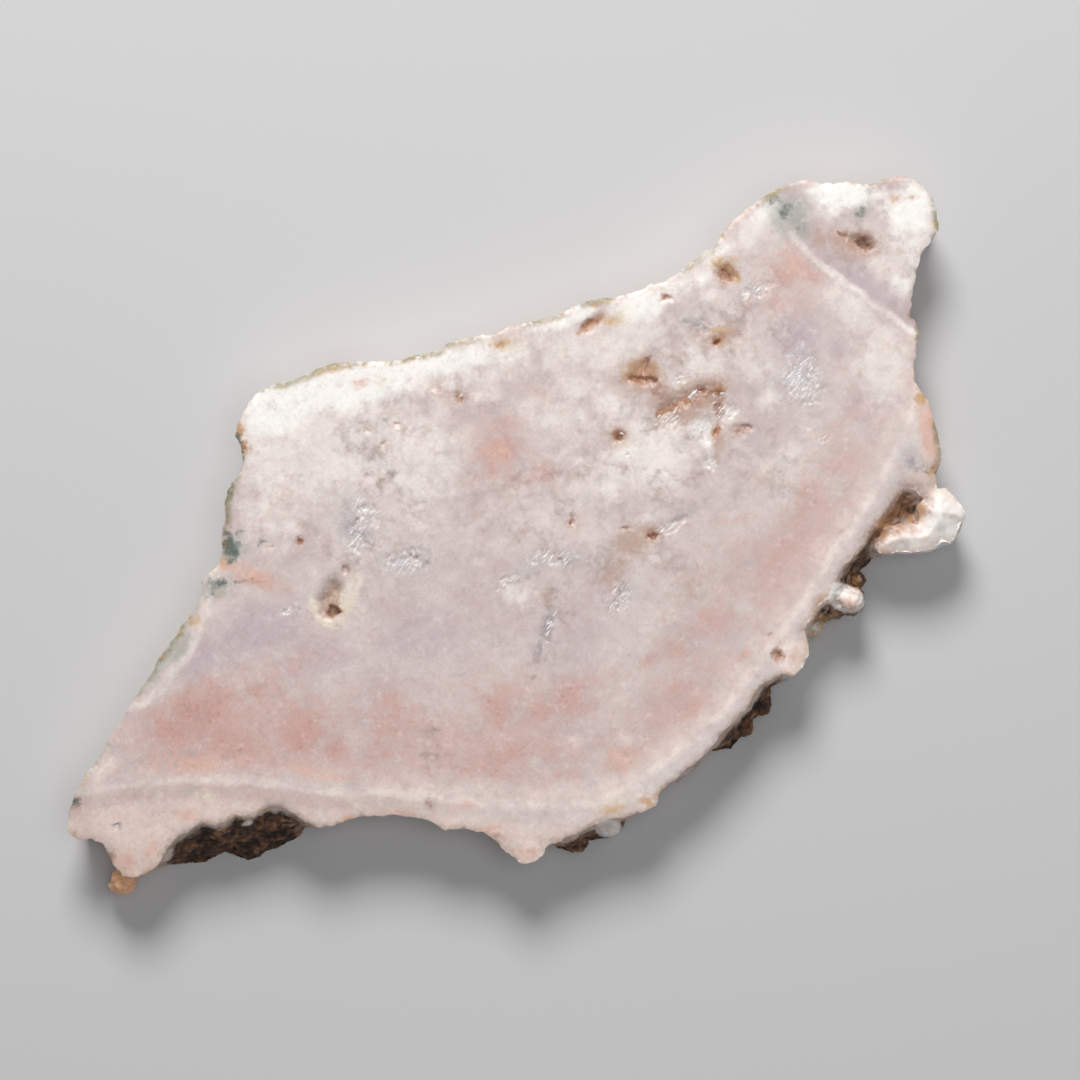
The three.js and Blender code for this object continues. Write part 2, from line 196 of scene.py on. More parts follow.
def split_face(corners, middles):
    """A triangle cut at the marked middles of its edges; a middle of -1 isn't marked."""
    marked = sum(middle >= 0 for middle in middles)
    if marked == 0:
        return [tuple(corners)]
    while marked < 3 and (middles[0] < 0 or middles[2] >= 0):
        corners = np.roll(corners, -1)
        middles = np.roll(middles, -1)
    a, b, c = corners
    ab, bc, ca = middles
    if marked == 1:
        return [(a, ab, c), (ab, b, c)]
    if marked == 2:
        return [(ab, b, bc), (a, ab, bc), (a, bc, c)]
    return [(a, ab, ca), (ab, b, bc), (ca, bc, c), (ab, bc, ca)]


def refine(verts, faces, limit):
    """Splits edges until none is longer than limit(middles) allows, with no gaps between faces."""
    for _ in range(8):
        edges, slot = np.unique(np.sort(edge_list(faces), axis=1), axis=0, return_inverse=True)
        middles = verts[edges].mean(1)
        lengths = np.linalg.norm(verts[edges[:, 0]] - verts[edges[:, 1]], axis=1)
        split = lengths > limit(middles)
        if not split.any():
            break
        new_vert = np.full(len(edges), -1)
        new_vert[split] = len(verts) + np.arange(split.sum())
        verts = np.concatenate([verts, middles[split]])
        marks = new_vert[slot.reshape(-1)].reshape(-1, 3)
        faces = np.array([part for face, mark in zip(faces, marks) for part in split_face(face, mark)])
    return verts, faces


def vertex_normals(verts, faces):
    """Unit normals at the vertices, where larger faces count for more."""
    corners = verts[faces]
    across = np.cross(corners[:, 1] - corners[:, 0], corners[:, 2] - corners[:, 0])
    normals = np.zeros_like(verts)
    for i in range(3):
        np.add.at(normals, faces[:, i], across)
    return normals / np.maximum(np.linalg.norm(normals, axis=1), 1e-12)[:, None]


def smooth(verts, faces, fixed, rounds):
    """Moves each free vertex half way to the middle of its neighbours, some rounds over."""
    edges = np.unique(np.sort(edge_list(faces), axis=1), axis=0)
    for _ in range(rounds):
        total = np.zeros_like(verts)
        count = np.zeros(len(verts))
        for first, second in ((0, 1), (1, 0)):
            np.add.at(total, edges[:, first], verts[edges[:, second]])
            np.add.at(count, edges[:, first], 1)
        middle = total / np.maximum(count, 1)[:, None]
        verts = np.where(fixed[:, None], verts, (verts + middle) / 2)
    return verts


def rim_loops(verts, faces, level):
    """Closed runs of boundary vertices at one height, in order, the longest first."""
    directed = {tuple(edge) for edge in edge_list(faces)}
    following = {}
    for start, end in sorted(directed):
        if (end, start) not in directed and abs(verts[start, 2] - level) < ON_CUT:
            following.setdefault(start, []).append(end)
    loops = []
    while following:
        start = next(iter(following))
        loop = [start]
        while True:
            ends = following[loop[-1]]
            end = ends.pop()
            if not ends:
                del following[loop[-1]]
            if end == start:
                break
            loop.append(end)
        loops.append(loop)
    return sorted(loops, key=len, reverse=True)


def relief(place, size, octaves=3):
    """Rolling natural relief between about -1 and 1."""
    return noise.fractal(place / size, 0.9, 2.1, octaves)


def knobs(place, size):
    """Rounded grape-like lumps: 1 at each lump's top, 0 in the creases between."""
    distances, _ = noise.voronoi(place / size)
    return 1 - min(1.0, distances[0] * 1.25) ** 2


def dress_skin(verts, faces):
    """Smooths the CAD facets of the natural skin and gives it its lumps.

    Returns the vertices, the triangles, how far outside the front outline each vertex lies, and how far
    up its lump it lies."""
    outline = verts[rim_loops(verts, faces, THICKNESS)[0], :2]

    def flare(places):
        plan = places[:, :2]
        return outline_gap(plan, outline) * ~inside(plan, [outline])

    def longest_edge(places):
        return np.where(flare(places) > HOLLOW_FLARE, HOLLOW_STEP, SKIN_STEP)

    verts, faces = refine(verts, faces, lambda middles: FIRST_STEP)
    rims = rim_loops(verts, faces, THICKNESS) + rim_loops(verts, faces, 0)
    on_rim = np.zeros(len(verts), bool)
    on_rim[[index for loop in rims for index in loop]] = True
    verts = smooth(verts, faces, on_rim, SMOOTH_ROUNDS)
    verts, faces = refine(verts, faces, longest_edge)
    rims = rim_loops(verts, faces, THICKNESS) + rim_loops(verts, faces, 0)
    on_rim = {}
    for loop in rims:
        for before, index, after in zip(np.roll(loop, 1), loop, np.roll(loop, -1)):
            span = min(np.linalg.norm(verts[index] - verts[near]) for near in (before, after))
            on_rim[index] = min(1.0, span / 0.3)
    normals = vertex_normals(verts, faces)
    flared = flare(verts)
    calm = patch_weight(verts[:, :2], CALM_SKIN)
    crests = np.zeros(len(verts))
    moved = verts.copy()
    for i, (vert, normal) in enumerate(zip(verts, normals)):
        place = Vector(vert)
        hollow = unit((flared[i] - 0.3) / 0.9)
        swell = 0.55 * relief(place + Vector((40, 0, 0)), 1.7) + 0.45 * relief(place, 0.6)
        swell += 0.45 * (knobs(place, 1.7) - 0.6) + (0.25 + 0.35 * hollow) * (knobs(place, 0.75) - 0.6)
        crests[i] = unit(0.5 + 0.6 * swell * (1 - CALM_SHARE * calm[i]))
        if i in on_rim:
            sideways = np.array([normal[0], normal[1], 0])
            sideways /= max(np.linalg.norm(sideways), 1e-6)
            nick = 0.22 * relief(place, 1.3) + 0.12 * relief(place, 0.5) - 0.04
            moved[i] += sideways * on_rim[i] * nick
        else:
            rough = (ROUGH_SKIN + (ROUGH_HOLLOW - ROUGH_SKIN) * hollow) * (1 - CALM_SHARE * calm[i])
            depth = min(vert[2], THICKNESS - vert[2])
            moved[i] += normal * rough * swell * min(1.0, 0.25 + depth / 0.8)
    moved[:, 2] = np.clip(moved[:, 2], 0, THICKNESS)
    return moved, faces, flared, crests


# Shallow broken patches of the front face where quartz points stand open and glitter.
SPARKLES = [
    (34.1, 18.6, 2.6, 4.2, 10, 1.0), (28.6, 29.2, 3.2, 1.5, 20, 0.8), (18.2, 13.9, 2.4, 1.2, 35, 0.9),
    (22.4, 12.2, 1.6, 2.4, 0, 0.9), (25, 14.6, 1.6, 1.4, 40, 0.9), (23, 8.6, 1.4, 1.2, 0, 0.8),
    (19.4, 18.8, 1.4, 1, 20, 0.7), (-18.3, 2.6, 2.2, 2.6, 60, 0.8), (-19.4, -1, 2, 1.6, 50, 0.9),
    (-13.2, -3.2, 3.4, 1.7, 5, 0.9), (4, -2.8, 3.6, 1.2, 4, 0.9), (-1.6, -5.8, 2, 1, 30, 0.8),
    (12.1, -7.8, 1.8, 2.4, -20, 1.0), (18.2, 0.6, 2.2, 1, 15, 0.9), (15.2, 13.4, 1, 0.8, 30, 0.7),
    (12.8, 9.6, 1.6, 0.8, 20, 0.6), (-27.4, -9, 1.6, 0.9, 30, 0.7), (35, 12.8, 1, 0.7, 45, 0.7),
    (36.6, 11.4, 1.4, 0.8, 35, 0.6), (3.9, -10.4, 0.7, 3, -12, 0.8), (-7, 16.6, 0.9, 0.5, 20, 0.9),
    (26.2, 27, 1.3, 0.8, 40, 0.6), (30.2, 25, 1.6, 0.8, 30, 0.5), (31.6, 7.1, 0.7, 0.5, 40, 0.7),
    (19.6, -12.4, 0.6, 0.5, 40, 0.7), (9.5, -3, 1.3, 0.8, 0, 0.6),
]
# Soft dips worn into the front face around its pockets: (x, y, half length, half width, turn, depth).
DIPS = [
    (-22.3, -7.3, 1.4, 2.4, -18, 0.75), (-20.8, -4.4, 0.9, 0.8, 0, 0.3), (14.9, 19.4, 1.9, 1.4, 0, 0.35),
    (18.6, 15.4, 2.8, 1.3, 32, 0.3), (23.8, 15.8, 1, 2.2, 8, 0.3), (22.1, 12, 1.8, 2.5, 10, 0.25),
    (18.6, 13.8, 1.4, 1, 40, 0.3), (25, 31.4, 1.5, 1.1, -30, 0.3), (40.9, 35.2, 2.2, 0.9, -10, 0.5),
    (20, 2, 3.6, 0.7, 25, 0.25), (3.6, -10.8, 0.8, 5, -13, 0.3), (-16.8, -0.6, 5, 3.2, 40, 0.12),
    (34, 18.4, 3, 4, 10, 0.12), (8.9, 25.4, 1.8, 0.8, 38, 0.4), (12.1, 11.8, 0.8, 0.7, 0, 0.4),
]
# Sharp pits with ragged walls, in the same form.
PITS = [
    (-22.3, -9.2, 0.85, 0.6, 10, 1.9), (-20.7, -4.2, 0.5, 0.34, 60, 0.5),
    (15.2, 20.2, 0.32, 1.2, -24, 0.6), (15.9, 18.6, 0.9, 0.36, -14, 0.8), (14, 18.8, 0.8, 0.32, 8, 0.6),
    (14.9, 18.8, 0.5, 0.4, 0, 0.9),
    (22.1, 17.3, 0.5, 0.36, 10, 0.7), (23.9, 16.9, 0.9, 0.6, 0, 0.4), (24, 15, 0.4, 1.2, 5, 0.35),
    (17.2, 14.5, 0.8, 0.4, 32, 0.4), (23.8, 12.6, 0.35, 0.9, -25, 0.5), (27.4, 12.8, 0.8, 0.3, 12, 0.35),
    (12.1, 11.7, 0.5, 0.36, 20, 0.9), (8.7, 25.2, 1.2, 0.4, 38, 0.5), (25.1, 31.3, 1, 0.3, -45, 0.7),
    (41.5, 35, 0.9, 0.42, -10, 1.3), (39, 36.1, 0.8, 0.25, -25, 0.5), (23.9, 23.2, 0.5, 0.28, 40, 0.8),
    (16.2, -0.2, 0.6, 0.3, 10, 0.9), (31.1, -14.5, 0.6, 0.4, -20, 0.35), (-26.1, -0.9, 0.32, 0.26, 0, 0.4),
    (3.5, -11.6, 0.22, 2.4, -13, 0.22), (4.4, -7.4, 0.2, 1, -8, 0.2), (-7, 16.3, 0.35, 0.26, 0, 0.4),
    (6.4, 1.6, 0.18, 0.6, -20, 0.4), (5, -3.1, 0.4, 0.22, 10, 0.4), (13.1, 0.8, 0.35, 0.22, 0, 0.4),
    (17.8, 28.4, 0.5, 0.26, 20, 0.4), (-48, -34.8, 0.35, 0.22, 10, 0.3), (-18.2, 12.6, 0.3, 0.25, 0, 0.3),
    (-16.4, 10.8, 0.3, 0.22, 30, 0.3), (-14.6, 13.4, 0.35, 0.2, -20, 0.3), (-19.4, 1.6, 0.5, 0.22, 60, 0.4),
    (-12.4, -2.8, 0.5, 0.22, 15, 0.4), (-29.6, -1.6, 0.4, 0.2, 20, 0.3), (-9.6, 17.3, 0.26, 0.22, 0, 0.3),
]
PIT_WALL = 0.6        # how much of a pit's radius its wall takes up
# Large quartz crystals bedded in the face: (x, y, direction in plan, length, radius).
CRYSTALS = [
    (21.9, 12.4, 75, 3.4, 0.9), (21.1, 16.9, 48, 1.5, 0.3), (19.2, 14.1, 35, 1.8, 0.5),
    (17.4, 13.4, 30, 1.1, 0.3), (23.1, 8.4, 130, 1.4, 0.45), (25.7, 5.8, 50, 1.4, 0.25),
    (25.4, 14.3, 52, 1.3, 0.22), (26.1, 13.6, 48, 1.1, 0.2), (19.4, 18.7, 40, 0.9, 0.25),
    (15.1, 22.5, 45, 1.1, 0.2), (14.9, 12.5, 40, 1.1, 0.25), (13.4, 9.8, 30, 1.5, 0.28),
    (34.6, 16.8, 70, 1.4, 0.35), (33.4, 20, 110, 1.3, 0.3), (35.4, 18.6, 40, 1, 0.25),
    (11.8, -8.4, 60, 1.2, 0.35), (26.6, 23.4, 20, 1.2, 0.3), (28.4, 29.6, 35, 1.3, 0.3),
    (29.6, 28.6, 60, 1.1, 0.22), (12.9, -7.2, 45, 1, 0.22),
]
# Where the natural skin is smoother than elsewhere: the pink thumb and the groove beside it.
CALM_SKIN = [
    (43.8, 0.6, 3.4, 2, 45, 1.0), (46.9, 3.6, 2.8, 2.4, 45, 1.0), (50.6, 1.6, 4.6, 5.4, 0, 0.9),
    (39.6, -7.4, 2, 1.4, 0, 0.6),
]
# Pink lumps on the lower right rim whose tops are rounded, not sawn flat, with how far their edges fall.
ROUNDED = [
    (50.6, 1.6, 6.4, 6, 0, 1.5), (45.6, -1.4, 4, 3, 0, 1.2), (33.4, -14.4, 2.4, 2.4, 0, 0.8),
    (1, -37.8, 3, 2.4, 0, 0.5), (-46.6, -39.4, 3, 3, 0, 0.5), (-52.6, -35, 2, 2.4, 0, 0.5),
]
ROUND_REACH = 3.0     # how far in from the rim the rounding reaches
RIM_WEAR = 0.22       # how far the worn edge of a saw cut falls
RIM_WEAR_REACH = 0.6  # and how far in from the rim
ROUND_DEPTH = 2.5     # how far down the lumps' sides it fades out
KNOBBY = 0.12         # relief of the lumps' tops
PROBE_START = 2.0     # how far outside the slice a probe for pockets starts
PROBE_RING = 0.45     # radius of the ring of probes whose mean slopes a pocket's walls
DEEPEST = 0.72        # share of the thickness beyond which a probe's depth isn't counted
RIM_ROWS = (0.28, 0.6)  # how far in from the rim the two rows of its worn edge lie
CHIP_EDGE = 0.42      # weight of a sparkle patch at which the face starts to be broken
CHIP_DEPTH = 0.2      # how deep it is broken


def pocket_map(tree, up):
    """A function that gives the depth of the frame's pockets below a saw cut, their walls sloped."""
    level = cut_level(up)
    start_z = level + up * PROBE_START
    ring = [(0.0, 0.0)]
    ring += [(PROBE_RING * math.cos(a), PROBE_RING * math.sin(a)) for a in np.arange(6) * math.tau / 6]

    def depth(x, y):
        total = 0.0
        for dx, dy in ring:
            hit = tree.ray_cast(Vector((x + dx, y + dy, start_z)), Vector((0, 0, -up)))[0]
            if hit is not None:
                total += min(abs(hit.z - level), DEEPEST * THICKNESS)
        return total / len(ring)

    return depth


def scatter(low, high, step, rng):
    """Jittered rows of plan points over a rectangle."""
    rows = np.arange(low[1], high[1], step * 0.87)
    columns = np.arange(low[0], high[0], step)
    x, y = np.meshgrid(columns, rows)
    x = x + (np.arange(len(rows)) % 2)[:, None] * step / 2
    points = np.stack([x.ravel(), y.ravel()], 1)
    return points + rng.uniform(-0.22, 0.22, points.shape) * step


def rim_rows(outline):
    """Two rows of plan points just inside the outline, for its worn edge."""
    ahead = np.roll(outline, -1, axis=0) - np.roll(outline, 1, axis=0)
    ahead /= np.maximum(np.hypot(ahead[:, 0], ahead[:, 1]), 1e-9)[:, None]
    inward = np.stack([-ahead[:, 1], ahead[:, 0]], 1)
    few = slice(40)  # enough points to tell which side is the inner one
    if not inside(outline[few] + inward[few] * 0.05, [outline]).mean() > 0.5:
        inward = -inward
    return np.concatenate([outline[::2] + inward[::2] * RIM_ROWS[0],
                           outline[1::2] + inward[1::2] * RIM_ROWS[1]])


# How much of a CAD pocket's depth is left open; the rest is filled with small quartz.
POCKET_SHARE = 0.13
PROBE = 0.5           # spacing at which pockets are looked for


def face_points(outlines, depth, sparkles, pits, rounded, step, rng):
    """The plan points of a cut face: coarse where it is flat, close set in and around its pockets."""
    low, high = outlines[0].min(0), outlines[0].max(0)
    columns, rows = (np.arange(low[i] - PROBE, high[i] + PROBE, PROBE) for i in (0, 1))
    pocketed = np.array([[depth(x, y) > ON_CUT for y in rows] for x in columns])
    fine = scatter(low, high, POCKET_STEP, rng)
    column, row = np.floor((fine - (low - PROBE)) / PROBE + 0.5).astype(int).T
    close = pocketed[np.minimum(column, len(columns) - 1), np.minimum(row, len(rows) - 1)]
    broken = patch_weight(fine, sparkles) > 0.3
    broken |= patch_weight(fine, rounded) > 0.8
    broken |= patch_weight(fine, [(*pit[:5], 1.0) for pit in pits]) > 0.12
    points = np.concatenate([scatter(low, high, step, rng), fine[close | broken]])
    worn = rim_rows(outlines[0])
    points = np.concatenate([points[outline_gap(points, outlines[0]) > 0.8],
                             worn[outline_gap(worn, outlines[0]) > 0.2]])
    return points[inside(points, outlines)]


def pit_depths(plan):
    """How deep the sharp pits go at each plan point."""
    bent = plan + 0.35 * np.array([(relief(Vector((x, y, 0)), 1.1), relief(Vector((x, y, 7)), 1.1))
                                   for x, y in plan])
    ragged = np.array([relief(Vector((y, x, 3)), 0.5) for x, y in plan])
    depths = np.zeros(len(plan))
    for *shape, depth in PITS:
        reach = np.sqrt(-np.log(np.maximum(ellipse_weight(bent, (*shape, 1.0)), 1e-9)) / 1.1)
        depths = np.maximum(depths, depth * np.clip((1.3 - reach + 0.18 * ragged) / PIT_WALL, 0, 1))
    return depths


def chip_depth(place, weight):
    """How deep the broken quartz lies below the cut face in a sparkle patch."""
    ragged = weight + 0.38 * relief(place, 1.1, 4)
    if ragged < CHIP_EDGE:
        return 0.0
    chip = 0.45 + 0.55 * relief(place + Vector((0, 0, 5)), 0.7)
    return CHIP_DEPTH * max(0.0, chip) * min(1.0, (ragged - CHIP_EDGE) / 0.3)


def cut_face(outlines, tree, up, sparkles, dips, step):
    """A saw cut inside the rim's outlines: flat, with its pockets and broken patches sunk into it.

    Returns its vertices, its triangles, and for each vertex its place in the outlines or -1."""
    rim = [Vector(point) for outline in outlines for point in outline]
    edges, start = [], 0
    for outline in outlines:
        count = len(outline)
        edges += [(start + i, start + (i + 1) % count) for i in range(count)]
        start += count
    depth = pocket_map(tree, up)
    rng = np.random.default_rng(11 if up > 0 else 12)
    pits, rounded = (PITS, ROUNDED) if up > 0 else ([], [])
    points = face_points(outlines, depth, sparkles, pits, rounded, step, rng)
    verts, _, faces, origins, _, _ = delaunay_2d_cdt(
        rim + [Vector(point) for point in points], edges, [], 0, 1e-7, True)
    plan = np.array([(v.x, v.y) for v in verts])
    faces = np.array(faces)
    faces = faces[inside(plan[faces].mean(1), outlines)]
    rim_place = np.array([next((i for i in origin if i < len(rim)), -1) for origin in origins])
    level = cut_level(up)
    rim_gap = outline_gap(plan, outlines[0])
    worn = patch_weight(plan, dips)
    sparkle = patch_weight(plan, sparkles)
    pits = pit_depths(plan) if up > 0 else np.zeros(len(plan))
    sinks = np.zeros(len(plan))
    for i, (x, y) in enumerate(plan):
        if rim_place[i] >= 0:
            continue
        place = Vector((x, y, level))
        warp_x = 0.4 * relief(place + Vector((9, 3, 0)), 1.1)
        warp_y = 0.4 * relief(place + Vector((2, 8, 0)), 1.1)
        sink = POCKET_SHARE * depth(x + warp_x, y + warp_y)
        sink += 0.1 * relief(place, 0.6) * min(1.0, sink)
        sink += max(0.0, worn[i] - 0.08) * (1 + 0.3 * relief(place, 1.2))
        sink = max(sink, pits[i])
        clear_of_rim = unit((rim_gap[i] - 0.5) / 0.9)
        sinks[i] = max(sink, chip_depth(place, sparkle[i]), 0.0) * clear_of_rim
    return np.column_stack([plan, level - up * sinks]), faces[:, ::up], rim_place


def wear_edges(verts, outline, up):
    """Breaks the sharp edge of a saw cut, and rounds the tops of the pink lumps on the front."""
    level = cut_level(up)
    gaps = outline_gap(verts[:, :2], outline)
    lumps = patch_weight(verts[:, :2], ROUNDED) * (up > 0)
    depths = np.abs(verts[:, 2] - level)
    for i in np.flatnonzero(depths < ROUND_DEPTH):
        fall = lumps[i] * max(0.0, 1 - gaps[i] / ROUND_REACH) ** 2 * (1 - depths[i] / ROUND_DEPTH)
        if lumps[i] > 0.3 and depths[i] < ON_CUT:
            knobby = 0.8 + 1.2 * relief(Vector(verts[i]), 2.4, 2)
            fall += KNOBBY * min(1.0, lumps[i]) * min(1.0, gaps[i] / 0.8) * max(0.0, knobby)
        if depths[i] < ON_CUT:
            chips = 0.7 + 0.6 * relief(Vector(verts[i]), 1.3)
            fall += RIM_WEAR * max(0.0, 1 - gaps[i] / RIM_WEAR_REACH) ** 2 * max(0.15, chips)
        verts[i, 2] -= up * fall


def slice_arrays():
    """The finished slice as one closed surface: skin, front cut and back cut."""
    frame_verts, frame_faces = frame_arrays()
    tree = BVHTree.FromPolygons([Vector(v) for v in frame_verts], frame_faces.tolist())
    verts, faces, flared, crests = dress_skin(*natural_skin(frame_verts, frame_faces))
    skin_verts, skin_faces = len(verts), faces
    outlines = {}
    for up, sparkles, dips, step in ((1, SPARKLES, DIPS, FACE_STEP), (-1, [], [], BACK_STEP)):
        loops = rim_loops(verts[:skin_verts], skin_faces, cut_level(up))
        rim = [index for loop in loops for index in loop]
        outlines[up] = verts[loops[0], :2]
        plans = [verts[loop, :2] for loop in loops]
        cut, cut_faces, rim_place = cut_face(plans, tree, up, sparkles, dips, step)
        fresh = rim_place < 0
        index = np.zeros(len(cut), int)
        index[fresh] = len(verts) + np.arange(fresh.sum())
        index[~fresh] = np.array(rim)[rim_place[~fresh]]
        verts = np.concatenate([verts, cut[fresh]])
        faces = np.concatenate([faces, index[cut_faces]])
    numbers = {"flare": np.zeros(len(verts)), "crest": np.full(len(verts), 0.5)}
    numbers["flare"][:skin_verts] = flared
    numbers["crest"][:skin_verts] = crests
    numbers["sunk"] = np.minimum(verts[:, 2], THICKNESS - verts[:, 2])
    numbers["sunk"][:skin_verts] = 0
    for up, outline in outlines.items():
        wear_edges(verts, outline, up)
    on_cut = np.arange(len(faces)) >= len(skin_faces)
    return verts, faces, on_cut, numbers


